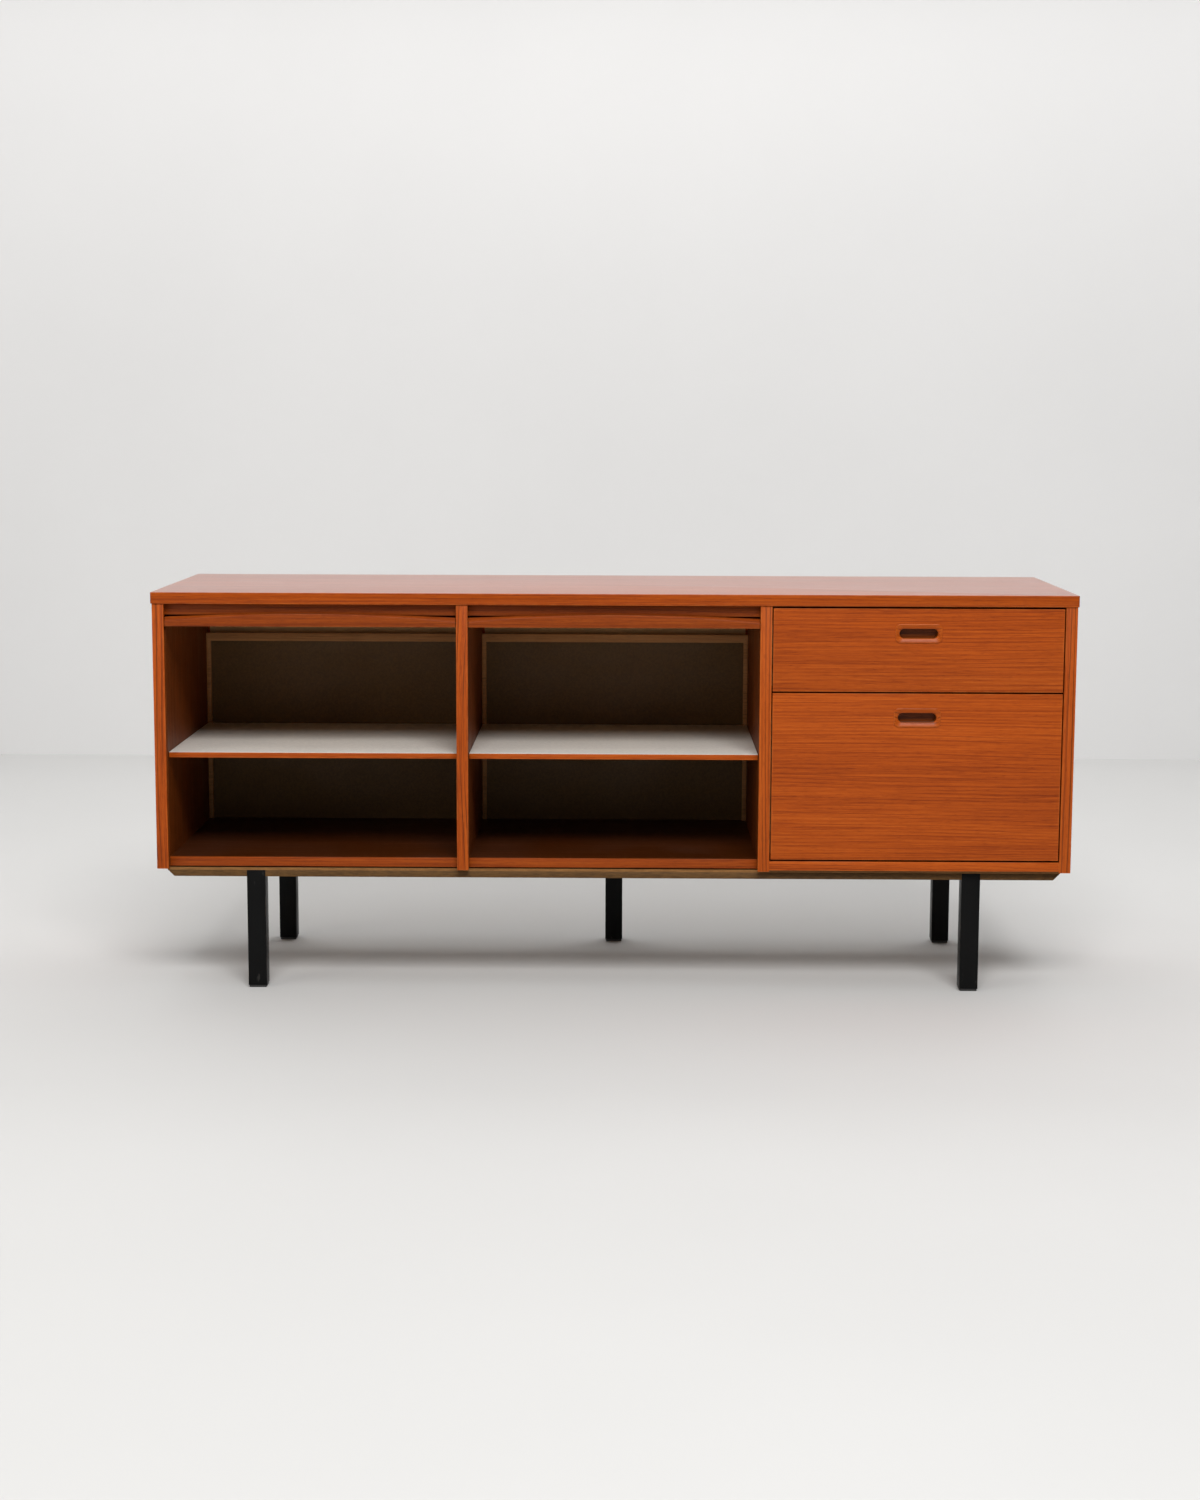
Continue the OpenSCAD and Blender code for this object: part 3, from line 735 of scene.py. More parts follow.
def woven_canvas():
    """Plain weave from the cloth's own map, with slubs and a little grime."""
    base = palette().canvas
    made = new_material("cotton canvas")
    _, tree, shader = made
    flat = tree.add("UVMap", uv_map="cloth").outputs[0]
    across, run, _ = tree.split(flat)
    turn = 2 * math.pi / (1.6 * MM)
    warp = tree.math("SINE", tree.times(across, turn))
    weft = tree.math("SINE", tree.times(run, turn))
    weave = tree.times_add(tree.times(warp, weft), 0.5, 0.5)
    slub = tree.noise(flat, (30, 900, 1), 2.0)
    grime = tree.noise(flat, (6, 6, 1), 3.0)
    shade = tree.blend(weave, rgba(base, 0.62), rgba(base))
    shade = tree.blend(tree.ease(slub, 0.5, 0.75), shade, rgba(base, 1.2))
    shade = tree.blend(tree.ease(grime, 0.45, 0.75, 0.0, 0.35), shade, rgba(base, 0.55))
    tree.feed(shader.inputs["Sheen Weight"], 0.15)
    return dress(made, shade, tree.ease(weave, 0.0, 1.0, 0.95, 0.8),
                 (tree.times_add(slub, 0.4, weave), 0.5, 0.2 * MM))


def black_lacquer(node, seed):
    """Satin black on wood: faint brushed grain, brown wood rubbed through at the edges."""
    base = palette().lacquer
    made = new_material(f"black lacquer, {node}")
    tree = made[1]
    place = object_place(tree)
    turned = shifted(tree, place, seed, (1.3, 0.7, 0.0), "Z")
    grain, handled, wear = wood_masks(tree, place, turned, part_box(node), 0.004, 1.5 * MM)
    scuff = tree.ease(tree.noise(place, (90, 90, 24), 3.0, 0.7), 0.66, 0.72)
    shade = tree.blend(grain["Tone"], rgba(base, 0.7), rgba(base, 1.35))
    shade = tree.blend(tree.times(scuff, 0.35), shade, (0.06, 0.055, 0.05, 1.0))
    shade = tree.blend(tree.ease(wear, 0.55, 0.95, 0.0, 0.45), shade, (0.09, 0.06, 0.04, 1.0))
    rough = tree.ease(handled["Smudge"], 0.3, 0.7, 0.34, 0.5)
    rough = tree.times_add(scuff, 0.2, rough, clamp=True)
    return dress(made, shade, rough, (grain["Height"], 0.2, 0.1 * MM), 0.12)


def speckled(name, grain, dark, light, finish, height, depth, metallic=0.0):
    """Moulded plastic or plated steel: speckled, and dulled in patches."""
    made = new_material(name)
    _, tree, shader = made
    speckle = tree.group(speckle_group(), {"Place": object_place(tree), "Grain": (grain,) * 3})
    tree.feed(shader.inputs["Metallic"], metallic)
    rough = tree.ease(speckle["Cloud"], 0.3, 0.7, *finish)
    return dress(made, tree.blend(speckle["Tone"], dark, light), rough,
                 (speckle["Height"], height, depth))


def moulded_plastic():
    return speckled("black glide plastic", 900, (0.012, 0.012, 0.012, 1.0),
                    (0.028, 0.027, 0.026, 1.0), (0.5, 0.7), 0.3, 0.1 * MM)


def zinc_steel():
    steel = palette().steel
    return speckled("zinc plated steel", 700, rgba(steel, 0.6), rgba(steel), (0.3, 0.5),
                    0.15, 0.05 * MM, 1.0)


def plain_stage(name, base):
    """A pale matt finish. It is clear from behind, so that the backdrop hides nothing."""
    made = new_material(name)
    material, tree, shader = made
    cloud = tree.noise(object_place(tree), (0.9, 0.9, 0.9), 3.0)
    shade = tree.blend(tree.ease(cloud, 0.3, 0.7), rgba(base, 0.975), rgba(base))
    behind = tree.add("NewGeometry").outputs["Backfacing"]
    clear = tree.add("BsdfTransparent").outputs[0]
    seen = tree.add("MixShader", {0: behind, 1: shader.outputs[0], 2: clear})
    output = next(node for node in material.node_tree.nodes if node.type == "OUTPUT_MATERIAL")
    tree.feed(output.inputs["Surface"], seen.outputs[0])
    return dress(made, shade, 0.8, specular=0.2)


# ---------------------------------------------------------------- pieces and their operators

def add_softbox(name, power, size, place, target, tint=(1.0, 1.0, 1.0)):
    light = bpy.data.lights.new(name, "AREA")
    light.shape = "RECTANGLE"
    light.size, light.size_y = size
    light.energy = power
    light.color = tint
    lamp = bpy.data.objects.new(name, light)
    bpy.context.scene.collection.objects.link(lamp)
    lamp.location = place
    lamp.rotation_mode = "QUATERNION"
    lamp.rotation_quaternion = (Vector(target) - Vector(place)).to_track_quat("-Z", "Y")


def add_camera(stage):
    """A camera from its place, turn, tilt and roll."""
    turn, tilt, roll = stage.camera_turn, stage.camera_tilt, stage.camera_roll
    ahead = Vector((-math.sin(turn) * math.cos(tilt), math.cos(turn) * math.cos(tilt),
                    -math.sin(tilt)))
    side = Vector((math.cos(turn), math.sin(turn), 0.0))
    up = side.cross(ahead)
    rolled_side = math.cos(roll) * side + math.sin(roll) * up
    rolled_up = math.cos(roll) * up - math.sin(roll) * side
    camera = bpy.data.objects.new("camera", bpy.data.cameras.new("camera"))
    bpy.context.scene.collection.objects.link(camera)
    axes = Matrix((rolled_side, rolled_up, -ahead)).transposed().to_4x4()
    camera.matrix_world = Matrix.Translation(stage.camera_place) @ axes
    camera.data.lens = stage.camera_lens
    camera.data.sensor_width = 36.0
    bpy.context.scene.camera = camera


class SIDEBOARD_OT_stage(bpy.types.Operator):
    """Adds the camera, the pale floor and backdrop, and the soft studio light."""

    bl_idname = "sideboard.stage"
    bl_label = "Stage"

    def execute(self, context):
        stage = context.scene.sideboard_stage
        bpy.context.scene.view_settings.view_transform = "Standard"
        add_camera(stage)
        for name, place, turn, paint in (
            ("floor", (0, 0, 0), (0, 0, 0), stage.floor),
            ("backdrop", (0, stage.wall_place, 0), (math.pi / 2, 0, 0), stage.wall),
        ):
            plane = primitive(bpy.ops.mesh.primitive_plane_add, name, size=STAGE_SIZE,
                              location=place, rotation=turn)
            apply_place(plane)
            plane.data.materials.append(plain_stage(name, paint))
        world = bpy.data.worlds.new("room light")
        bpy.context.scene.world = world
        world.use_nodes = True
        sky = world.node_tree.nodes["Background"].inputs
        sky["Color"].default_value = (0.97, 0.985, 1.0, 1.0)
        sky["Strength"].default_value = stage.sky
        add_softbox("key", stage.key, (4.0, 2.2), (0.5, -5.4, 5.3), (0, 0, 0.35))
        add_softbox("fill", stage.fill, (2.0, 1.6), (-3.6, -3.0, 1.6), (0, 0, 0.35),
                    (1.0, 0.93, 0.84))
        add_softbox("overhead", stage.overhead, (7.0, 5.0), (0.0, 0.4, 4.4), (0, 0.4, 0))
        add_softbox("rear", stage.rear, (6.0, 0.8), (0.0, 2.1, 2.7), (0, 0.2, 0))
        return {"FINISHED"}


class SIDEBOARD_OT_top(bpy.types.Operator):
    """Builds the veneered top with its rounded corners."""

    bl_idname = "sideboard.top"
    bl_label = "Top"

    def execute(self, context):
        sizes = context.scene.sideboard_sizes
        low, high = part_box("top_panel")
        piece = add_box("top_panel_veneered", low, high)
        ease(piece, sizes.top_corner, upright, 6)

        def rim(edge):
            ends = [vertex.co.z for vertex in edge.verts]
            return max(ends) - low.z < TOUCH or high.z - min(ends) < TOUCH

        ease(piece, sizes.top_arris, rim, 3)
        place_piece(piece, teak("top_panel", seed=1, tone_and_shade=0.9, finish=(0.29, 0.36), polish=0.7),
                    "top_panel")
        return {"FINISHED"}


class SIDEBOARD_OT_uprights(bpy.types.Operator):
    """Builds the sides and dividers with eased edges around their grooves and holes."""

    bl_idname = "sideboard.uprights"
    bl_label = "Sides and dividers"

    def execute(self, context):
        sizes = context.scene.sideboard_sizes
        nodes = ("left_side", "right_side", "left_divider", "right_divider")
        for seed, node in enumerate(nodes, start=2):
            piece = eased_copy(node, "veneered", sizes.board_arris)
            # Painted shade: the faces that look into the bays take the inner tones.
            place_piece(piece, teak(node, "Z", seed, inside=(inner_shade_tones(), inner_face_shade)), node)
        return {"FINISHED"}


class SIDEBOARD_OT_bottoms(bpy.types.Operator):
    """Builds the bottom boards' lippings and the aprons, and finishes the bottom boards."""

    bl_idname = "sideboard.bottoms"
    bl_label = "Bottoms and aprons"

    def execute(self, context):
        sizes = context.scene.sideboard_sizes
        # Painted shade: the bay floors take the inner tones, cut further, for the shade deep in the
        # bays.
        dark, main, light = darker(inner_shade_tones(), 0.62)
        for seed, node in enumerate(("left_bottom", "middle_bottom", "right_bottom"), start=7):
            paint_node(node, timber(f"oiled teak, {node}", (dark, dark, main, light),
                                    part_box(node), seed=seed, finish=(0.32, 0.42), specular=0.2,
                                    dust=0.008))
        lippings = eased_copy("bottom_lippings", "eased", sizes.fine_arris, arris)
        paint = palette()
        shaded = darker((paint.teak_dark, paint.teak, paint.teak_light), 0.7)
        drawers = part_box("right_divider")[0].x

        def under_bays(tree, place):
            return tree.ease(tree.split(place)[0], drawers + 10 * MM, drawers + 8 * MM)

        place_piece(lippings, teak("bottom_lippings", seed=11, inside=(shaded, under_bays)),
                    "bottom_lippings")
        # Painted shadow: the aprons are drawn at half tone for the shade under the top's overhang.
        for seed, node in enumerate(("left_apron", "middle_apron"), start=12):
            piece = eased_copy(node, "eased", sizes.fine_arris, arris)
            place_piece(piece, teak(node, seed=seed, tone_and_shade=0.5), node)
        return {"FINISHED"}


def add_screw_head(name, radius):
    """A slotted countersunk head that looks along +Z, centred on the origin."""
    thick, rim_ease, slot_half, slot_floor = 1.0 * MM, 0.35 * MM, 0.45 * MM, -0.1 * MM
    head = primitive(bpy.ops.mesh.primitive_cylinder_add, name, vertices=20, radius=radius,
                     depth=thick)

    def top_rim(edge):
        on_top = min(vertex.co.z for vertex in edge.verts) > 0.4 * thick
        return on_top and len({face.normal.z > 0.5 for face in edge.link_faces}) == 2

    ease(head, rim_ease, top_rim)
    past = radius * 1.2
    slot = add_box("slot", (-past, -slot_half, slot_floor), (past, slot_half, thick))
    cut = head.modifiers.new("slot", "BOOLEAN")
    cut.operation = "DIFFERENCE"
    cut.solver = "EXACT"
    cut.object = slot
    only(head)
    bpy.ops.object.modifier_apply(modifier=cut.name)
    bpy.data.objects.remove(slot)
    return head


def screw_heads(node, name, radius, degrees, outside):
    """A head on each screw of a node, turned about X. outside is (axis, place) of the heads."""
    head = add_screw_head(name, radius)
    head.data.transform(Matrix.Rotation(math.radians(degrees), 4, "X"))
    axis, level = outside
    places = [(low + high) / 2 for low, high in solids(node)]
    for place in places:
        place[axis] = level
    place_piece(repeat(head, places), zinc_steel(), node)


class SIDEBOARD_OT_backs(bpy.types.Operator):
    """Finishes the back panel and false backs, and builds the beads and the screws' heads."""

    bl_idname = "sideboard.backs"
    bl_label = "Backs"

    def execute(self, context):
        sizes = context.scene.sideboard_sizes
        nodes = ("back_panel", "left_false_back", "middle_false_back")
        for seed, node in enumerate(nodes, start=1):
            paint_node(node, pressed_board("brown hardboard", seed))
        for seed, node in enumerate(("left_back_beads", "middle_back_beads"), start=4):
            piece = eased_copy(node, "eased", sizes.fine_arris, arris)
            place_piece(piece, pale_bead(node, seed), node)
        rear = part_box("back_panel")[1].y
        screw_heads("back_screws", "back_screw_heads", sizes.screw_head, -90,
                    (1, rear + 0.5 * MM))
        return {"FINISHED"}


class SIDEBOARD_OT_shelves(bpy.types.Operator):
    """Builds each shelf: a core, laminate on both faces and a teak lipping between them."""

    bl_idname = "sideboard.shelves"
    bl_label = "Shelves"

    def execute(self, context):
        sizes = context.scene.sideboard_sizes
        skin = sizes.laminate
        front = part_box("shelf_lippings")[0].y
        lippings = []
        for seed, bay in enumerate(BAYS, start=1):
            node = f"{bay}_shelf"
            low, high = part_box(node)
            core = add_box(f"{bay}_shelf_core", low + Vector((0, 0, skin)),
                           high - Vector((0, 0, skin)))
            ease(core, 0.2 * MM, box_edge(core), 1)
            sheets = []
            for near, floor, ceiling in ((front, high.z - skin, high.z),
                                         (low.y, low.z, low.z + skin)):
                sheet = add_box("sheet", (low.x, near, floor), (high.x, high.y, ceiling))
                sheets.append(ease(sheet, 0.2 * MM, box_edge(sheet)))
            laminate = join(f"{bay}_shelf_laminate", sheets)
            lipping = add_box("lipping", (low.x, front + 0.1 * MM, low.z),
                              (high.x, low.y, high.z - skin))
            lippings.append(ease(lipping, 0.4 * MM, box_edge(lipping)))
            place_piece(core, pressed_board("raw olive board", seed), node)
            place_piece(laminate, pressed_board("white laminate", seed), node)
        place_piece(join("shelf_lippings_eased", lippings),
                    teak("shelf_lippings", seed=17, marks=(0.3, 0.4)), "shelf_lippings")
        paint_node("shelf_pins", zinc_steel())
        return {"FINISHED"}


def rail_section(sizes, low, high, share):
    """Seven points (y, z) of a lead rail's cross-section, at a share of its half length."""
    drop = share * share
    tall = high.z - low.z
    top = tall - (tall - sizes.rail_end) * drop
    lip = tall - sizes.rail_ease - (tall - sizes.rail_ease - sizes.rail_lip) * drop
    run = sizes.rail_slope * (top - lip) / (sizes.rail_end - sizes.rail_lip)
    step_high, step_ease, step_deep = 7.6 * MM, 1.0 * MM, 2.0 * MM
    back = high.y - step_deep
    return [
        (low.y, low.z), (low.y, low.z + lip), (low.y + run, low.z + top), (back, low.z + top),
        (back, low.z + step_high), (high.y, low.z + step_high - step_ease), (high.y, low.z),
    ]


def add_lead_rail(bay, sizes):
    """A lead rail: its section drawn along X, arched above, with its sloped finger lip."""
    low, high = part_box(f"{bay}_lead_rail")
    half = (high.x - low.x) / 2 - sizes.tongue
    mid = (high.x + low.x) / 2
    end = rail_section(sizes, low, high, 1.0)
    piece = primitive(bpy.ops.mesh.primitive_circle_add, f"{bay}_lead_rail_shaped",
                      vertices=len(end), fill_type="NGON")
    for vertex, (y, z) in zip(piece.data.vertices, end):
        vertex.co = (mid - half, y, z)
    edit(piece)
    bpy.ops.mesh.extrude_region_move(TRANSFORM_OT_translate={"value": (2 * half, 0, 0)})
    finish_edit(piece)
    select_edges(piece, lambda edge: abs(edge.verts[0].co.x - edge.verts[1].co.x) > half)
    bpy.ops.mesh.subdivide(number_cuts=RAIL_CUTS)
    finish_edit(piece)
    for vertex in piece.data.vertices:
        nearest = min(range(len(end)), key=lambda k: math.dist(end[k], vertex.co[1:]))
        y, z = rail_section(sizes, low, high, (vertex.co.x - mid) / half)[nearest]
        vertex.co = (vertex.co.x, y, z)
    tidy_normals(piece)

    def shown(edge):
        along = abs(edge.verts[0].co.x - edge.verts[1].co.x) > 0.9 * edge.calc_length()
        return along and edge.calc_face_angle_signed() > math.radians(20)

    ease(piece, sizes.rail_arris, shown)
    near, far = high.y - 7.6 * MM, high.y - 0.1 * MM
    floor, ceiling = low.z + 0.2 * MM, low.z + 6.4 * MM
    tongues = []
    for x in (low.x, high.x - sizes.tongue):
        tongue = add_box("tongue", (x, near, floor), (x + sizes.tongue, far, ceiling))
        tongues.append(ease(tongue, 0.6 * MM, box_edge(tongue)))
    return join(piece.name, [piece, *tongues])


def canvas_line(low, high):
    """Points (y, z, run) along the canvas: level under the top, round the bend, down the back."""
    bend = CANVAS_BEND
    turn_start = high.y - bend
    level = turn_start - low.y
    quarter = bend * math.pi / 2
    total = level + quarter + high.z - bend - low.z
    count = round(total / CANVAS_STEP)
    points = []
    for k in range(count + 1):
        run = total * k / count
        if run < level:
            points.append((low.y + run, high.z, run))
        elif run < level + quarter:
            angle = (run - level) / bend
            points.append((turn_start + bend * math.sin(angle),
                           high.z - bend + bend * math.cos(angle), run))
        else:
            points.append((high.y, high.z - bend - (run - level - quarter), run))
    return points


def add_canvas(bay, sizes):
    """The canvas of one curtain: a grid laid along its line, with its flat map, thickened."""
    low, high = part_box(f"{bay}_canvas")
    width = high.x - low.x
    line = canvas_line(low, high)
    rows = len(line) - 1
    piece = primitive(bpy.ops.mesh.primitive_grid_add, f"{bay}_canvas_woven",
                      x_subdivisions=CANVAS_COLUMNS, y_subdivisions=rows, size=1)
    flat_places = []
    for vertex in piece.data.vertices:
        across = (vertex.co.x + 0.5) * width
        y, z, run = line[round((vertex.co.y + 0.5) * rows)]
        flat_places.append((across, run))
        vertex.co = (low.x + across, y, z)
    flat = piece.data.uv_layers[0]
    flat.name = "cloth"
    for loop in piece.data.loops:
        flat.data[loop.index].uv = flat_places[loop.vertex_index]
    thick = piece.modifiers.new("thickness", "SOLIDIFY")
    thick.thickness = sizes.cloth
    thick.offset = -1.0
    only(piece)
    bpy.ops.object.modifier_apply(modifier=thick.name)
    return piece


def squeezed(z, start, end, travel):
    """The height at rest from which a blended point reaches z when the joint is at its limit."""
    low, high = end, start
    for _ in range(48):
        middle = (low + high) / 2
        share = (start - middle) / (start - end)
        reached = middle - share * share * (3 - 2 * share) * travel
        if reached < z:
            low = middle
        else:
            high = middle
    return (low + high) / 2


def add_closing_curtain(bay, sizes):
    """The slats that show when a curtain is closed. At rest they lie squeezed behind the lead rail.

    They are modelled where they stand with the curtain closed, and that place is kept as an
    attribute, which the grain follows.
    """
    rail_low, rail_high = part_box(f"{bay}_lead_rail")
    travel = TRAVEL[f"{bay}_tambour"]
    start = rail_low.z + 15.0 * MM
    end = rail_low.z + 8.5 * MM
    front = rail_high.y - 1.8 * MM
    left, right = rail_low.x + sizes.tongue, rail_high.x - sizes.tongue
    pitch = (start - end + travel) / sizes.slats
    gap, thick, rounding = 0.6 * MM, 2.6 * MM, 1.5 * MM
    slat = add_box(f"{bay}_closing_curtain", (left, front, start - pitch + gap),
                   (right, front + thick, start))
    ease(slat, rounding, lambda edge: long_arris(edge) and edge.verts[0].co.y < front + MM, 3)
    piece = repeat(slat, [(0, 0, -k * pitch) for k in range(sizes.slats)])
    smooth(piece, 50)
    closed = piece.data.attributes.new("closed_place", "FLOAT_VECTOR", "POINT")
    for vertex in piece.data.vertices:
        closed.data[vertex.index].vector = vertex.co
    for vertex in piece.data.vertices:
        vertex.co.z = squeezed(vertex.co.z, start, end, travel)
    # The closing curtain is drawn darker, like the lead rails: partly darker teak, partly painted
    # shade.
    piece.data.materials.append(
        teak(f"{bay}_lead_rail", seed=23, name=f"oiled teak, {bay} closing curtain",
             tone_and_shade=0.75, attribute="closed_place", worn=0.0))
    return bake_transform(piece)


class SIDEBOARD_OT_tambours(bpy.types.Operator):
    """Builds the lead rails, the rolled-up slats on their canvas, and the closing curtains."""

    bl_idname = "sideboard.tambours"
    bl_label = "Tambours"

    def execute(self, context):
        sizes = context.scene.sideboard_sizes
        cloth = woven_canvas()
        for seed, bay in enumerate(BAYS, start=18):
            rail = add_lead_rail(bay, sizes)
            # The lead rails are drawn darker: partly their own darker teak, partly painted shade on
            # their sloped faces.
            place_piece(rail, teak(f"{bay}_lead_rail", seed=seed, tone_and_shade=0.62, marks=(0.5, 0.4)),
                        f"{bay}_lead_rail")
            slats = eased_copy(f"{bay}_slats", "rounded", sizes.slat_round, long_arris)
            place_piece(slats, teak(f"{bay}_slats", seed=seed + 2), f"{bay}_slats")
            canvas = add_canvas(bay, sizes)
            place_piece(canvas, cloth, f"{bay}_canvas")
            add_closing_curtain(bay, sizes)
        return {"FINISHED"}


def add_rounded_loop(centre, width, height, radius):
    """The outline of a rounded rectangle in the X-Z plane, from a plane with beveled corners."""
    loop = primitive(bpy.ops.mesh.primitive_plane_add, "loop", size=1, location=centre,
                     rotation=(math.pi / 2, 0, 0))
    loop.scale = (width, height, 1)
    edit(apply_place(loop))
    bpy.ops.mesh.select_mode(type="VERT")
    bpy.ops.mesh.select_all(action="SELECT")
    bpy.ops.mesh.bevel(offset=radius, segments=8, affect="VERTICES", clamp_overlap=False)
    bpy.ops.mesh.select_all(action="SELECT")
    bpy.ops.mesh.delete(type="ONLY_FACE")
    return finish_edit(loop)


def handle_loops(low, high):
    """Rounded rectangles from the back of a handle over its rim into its finger slot.

    Each is (y, width, height, corner radius). The rim is the widest, its crown stands in
    front, and the slot is the last, with a thin floor left behind it.
    """
    rim_w, rim_h = high.x - low.x, high.z - low.z
    front, back = low.y, high.y
    face = front + 1.6 * MM
    body = (rim_w - 8 * MM, rim_h - 8 * MM, 5 * MM)
    slot = (rim_w - 15 * MM, rim_h - 17.5 * MM, 7.96 * MM)
    return [
        (back, *body), (face + 0.03 * MM, *body),
        (face, rim_w, rim_h, 9 * MM), (face - 0.8 * MM, rim_w, rim_h, 9 * MM),
        (front + 0.35 * MM, rim_w - 0.8 * MM, rim_h - 0.8 * MM, 8.7 * MM),
        (front, rim_w - 2.6 * MM, rim_h - 2.6 * MM, 8.2 * MM),
        (front + 0.15 * MM, rim_w - 4.4 * MM, rim_h - 4.4 * MM, 7.8 * MM),
        (front + 1.0 * MM, rim_w - 7.4 * MM, rim_h - 8.0 * MM, 7.7 * MM),
        (front + 1.8 * MM, slot[0] + 3.6 * MM, slot[1] + 3.8 * MM, 8.0 * MM),
        (front + 2.8 * MM, slot[0] + 1.2 * MM, slot[1] + 1.2 * MM, 8.2 * MM),
        (front + 4.6 * MM, *slot), (back - 2 * MM, *slot),
    ]


def add_handle(name, low, high):
    """A carved handle: its outlines bridged one after another, its back and slot floor filled."""
    middle = (low + high) / 2
    loops = handle_loops(low, high)
    outlines = [add_rounded_loop((middle.x, y, middle.z), width, height, radius)
                for y, width, height, radius in loops]
    piece = join(name, outlines)
    places = [loop[0] for loop in loops]

    def on_loops(*chosen):
        def test(edge):
            ends = [vertex.co.y for vertex in edge.verts]
            level = abs(ends[0] - ends[1]) < TOUCH / 10
            return level and min(abs(ends[0] - y) for y in chosen) < TOUCH / 10

        return test

    for near, far in zip(places, places[1:]):
        select_edges(piece, on_loops(near, far))
        bpy.ops.mesh.bridge_edge_loops()
        finish_edit(piece)
    for end in (places[0], places[-1]):
        select_edges(piece, on_loops(end))
        bpy.ops.mesh.edge_face_add()
        finish_edit(piece)
    return tidy_normals(piece)


class SIDEBOARD_OT_drawer_fronts(bpy.types.Operator):
    """Builds the veneered drawer fronts and their carved handles."""

    bl_idname = "sideboard.drawer_fronts"
    bl_label = "Drawer fronts and handles"

    def execute(self, context):
        sizes = context.scene.sideboard_sizes
        for seed, drawer in enumerate(DRAWERS, start=27):
            node = f"{drawer}_drawer_front"
            front = eased_copy(node, "veneered", sizes.board_arris)
            place_piece(front, teak(node, seed=seed), node)
            node = f"{drawer}_drawer_handle"
            handle = add_handle(f"{node}_carved", *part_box(node))
            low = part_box(node)[0]

            # Painted shade: the slot's recess takes the inner tones.
            def slot_shade(tree, place):
                return tree.ease(tree.split(place)[1], low.y + 3 * MM, low.y + 7 * MM)

            place_piece(handle, teak(node, seed=seed + 4, tone_and_shade=0.9, finish=(0.3, 0.4),
                                     inside=(inner_shade_tones(), slot_shade)), node)
        return {"FINISHED"}


class SIDEBOARD_OT_drawer_boxes(bpy.types.Operator):
    """Builds the drawers' sides and backs, and finishes bottoms, runners and stops."""

    bl_idname = "sideboard.drawer_boxes"
    bl_label = "Drawer boxes and runners"

    def execute(self, context):
        sizes = context.scene.sideboard_sizes
        for seed, drawer in enumerate(DRAWERS, start=1):
            for part, along in (("left_side", "Y"), ("right_side", "Y"), ("back", "X")):
                node = f"{drawer}_drawer_{part}"
                piece = eased_copy(node, "eased", sizes.board_arris)
                place_piece(piece, beech(node, along, seed * 3 + len(part)), node)
            paint_node(f"{drawer}_drawer_bottom", pressed_board("brown hardboard", seed + 6))
            paint_node(f"{drawer}_runners", beech(f"{drawer}_runners", "Y", seed + 9))
            paint_node(f"{drawer}_drawer_screws", zinc_steel())
        paint_node("drawer_stops", beech("drawer_stops", "Z", 13))
        paint_node("runner_screws", zinc_steel())
        return {"FINISHED"}


class SIDEBOARD_OT_base(bpy.types.Operator):
    """Builds the front and rear bearers with their cut-away ends, and finishes the base."""

    bl_idname = "sideboard.base"
    bl_label = "Base"

    def execute(self, context):
        sizes = context.scene.sideboard_sizes
        for seed, node in enumerate(("front_bearer", "rear_bearer"), start=3):
            piece = copy_node(node, f"{node}_eased")
            ease(piece, sizes.fine_arris, lambda edge: long_arris(edge) or box_edge(piece)(edge))
            place_piece(piece, pressed_board("raw olive board", seed), node)
        paint_node("base_panel", pressed_board("pale base panel", 5))
        paint_node("cross_bearers", pressed_board("raw olive board", 6))
        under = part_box("front_bearer")[0].z
        screw_heads("bearer_screws", "bearer_screw_heads", sizes.screw_head, 180,
                    (2, under - 0.5 * MM))
        return {"FINISHED"}


class SIDEBOARD_OT_legs(bpy.types.Operator):
    """Builds the five square legs and the glides under them."""

    bl_idname = "sideboard.legs"
    bl_label = "Legs"

    def execute(self, context):
        sizes = context.scene.sideboard_sizes
        nodes = ("front_left_leg", "front_right_leg", "rear_left_leg", "rear_middle_leg",
                 "rear_right_leg")
        for seed, node in enumerate(nodes, start=1):
            piece = add_box(f"{node}_lacquered", *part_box(node))
            ease(piece, sizes.leg_arris, box_edge(piece), 3)
            place_piece(piece, black_lacquer(node, seed), node)
        glides = eased_copy("leg_glides", "moulded", 0.9 * MM, arris)
        place_piece(glides, moulded_plastic(), "leg_glides")
        return {"FINISHED"}


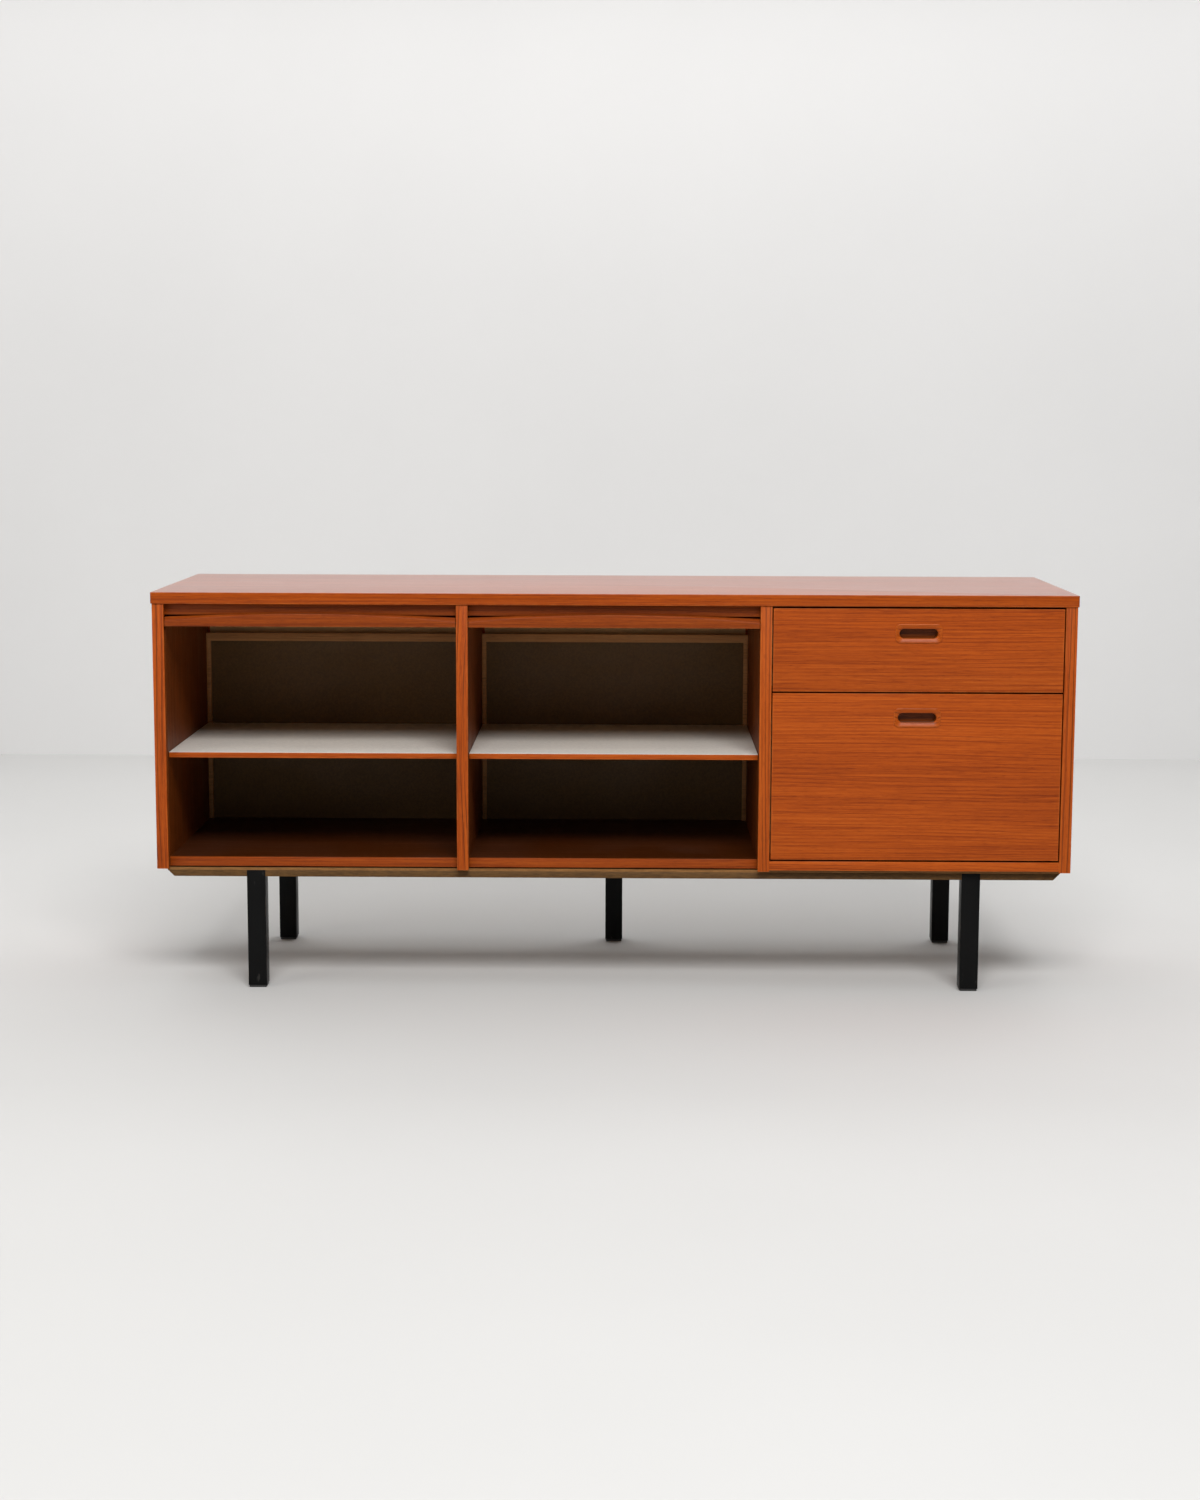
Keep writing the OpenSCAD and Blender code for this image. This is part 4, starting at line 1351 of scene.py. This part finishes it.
class SIDEBOARD_OT_fixings(bpy.types.Operator):
    """Finishes the hidden dowels and leg bolts."""

    bl_idname = "sideboard.fixings"
    bl_label = "Hidden fixings"

    def execute(self, context):
        paint_node("carcass_dowels", beech("carcass_dowels", "Z", 21))
        paint_node("leg_bolts", zinc_steel())
        return {"FINISHED"}


class SIDEBOARD_PT_build(bpy.types.Panel):
    """Lists the steps of the build and the values that a user would change."""

    bl_idname = "SIDEBOARD_PT_build"
    bl_label = "Sideboard"
    bl_space_type = "VIEW_3D"
    bl_region_type = "UI"
    bl_category = "Sideboard"

    def draw(self, context):
        for step in STEPS:
            self.layout.operator(step.bl_idname)
        for name, group in GROUPS.items():
            column = self.layout.column(align=True)
            for setting in group.__annotations__:
                column.prop(getattr(context.scene, name), setting)


STEPS = (
    SIDEBOARD_OT_stage, SIDEBOARD_OT_top, SIDEBOARD_OT_uprights, SIDEBOARD_OT_bottoms,
    SIDEBOARD_OT_backs, SIDEBOARD_OT_shelves, SIDEBOARD_OT_tambours,
    SIDEBOARD_OT_drawer_fronts, SIDEBOARD_OT_drawer_boxes, SIDEBOARD_OT_base,
    SIDEBOARD_OT_legs, SIDEBOARD_OT_fixings,
)
GROUPS = {"sideboard_sizes": SideboardSizes, "sideboard_colours": SideboardColours,
          "sideboard_stage": SideboardStage}
CLASSES = (*GROUPS.values(), *STEPS, SIDEBOARD_PT_build)


def register():
    for item in CLASSES:
        bpy.utils.register_class(item)
    for name, group in GROUPS.items():
        setattr(bpy.types.Scene, name, PointerProperty(type=group))


def unregister():
    for name in GROUPS:
        delattr(bpy.types.Scene, name)
    for item in reversed(CLASSES):
        bpy.utils.unregister_class(item)


def main():
    register()
    bpy.ops.sideboard.stage()
    bpy.ops.sideboard.top()
    bpy.ops.sideboard.uprights()
    bpy.ops.sideboard.bottoms()
    bpy.ops.sideboard.backs()
    bpy.ops.sideboard.shelves()
    bpy.ops.sideboard.tambours()
    bpy.ops.sideboard.drawer_fronts()
    bpy.ops.sideboard.drawer_boxes()
    bpy.ops.sideboard.base()
    bpy.ops.sideboard.legs()
    bpy.ops.sideboard.fixings()
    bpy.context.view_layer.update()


if __name__ == "__main__":
    main()
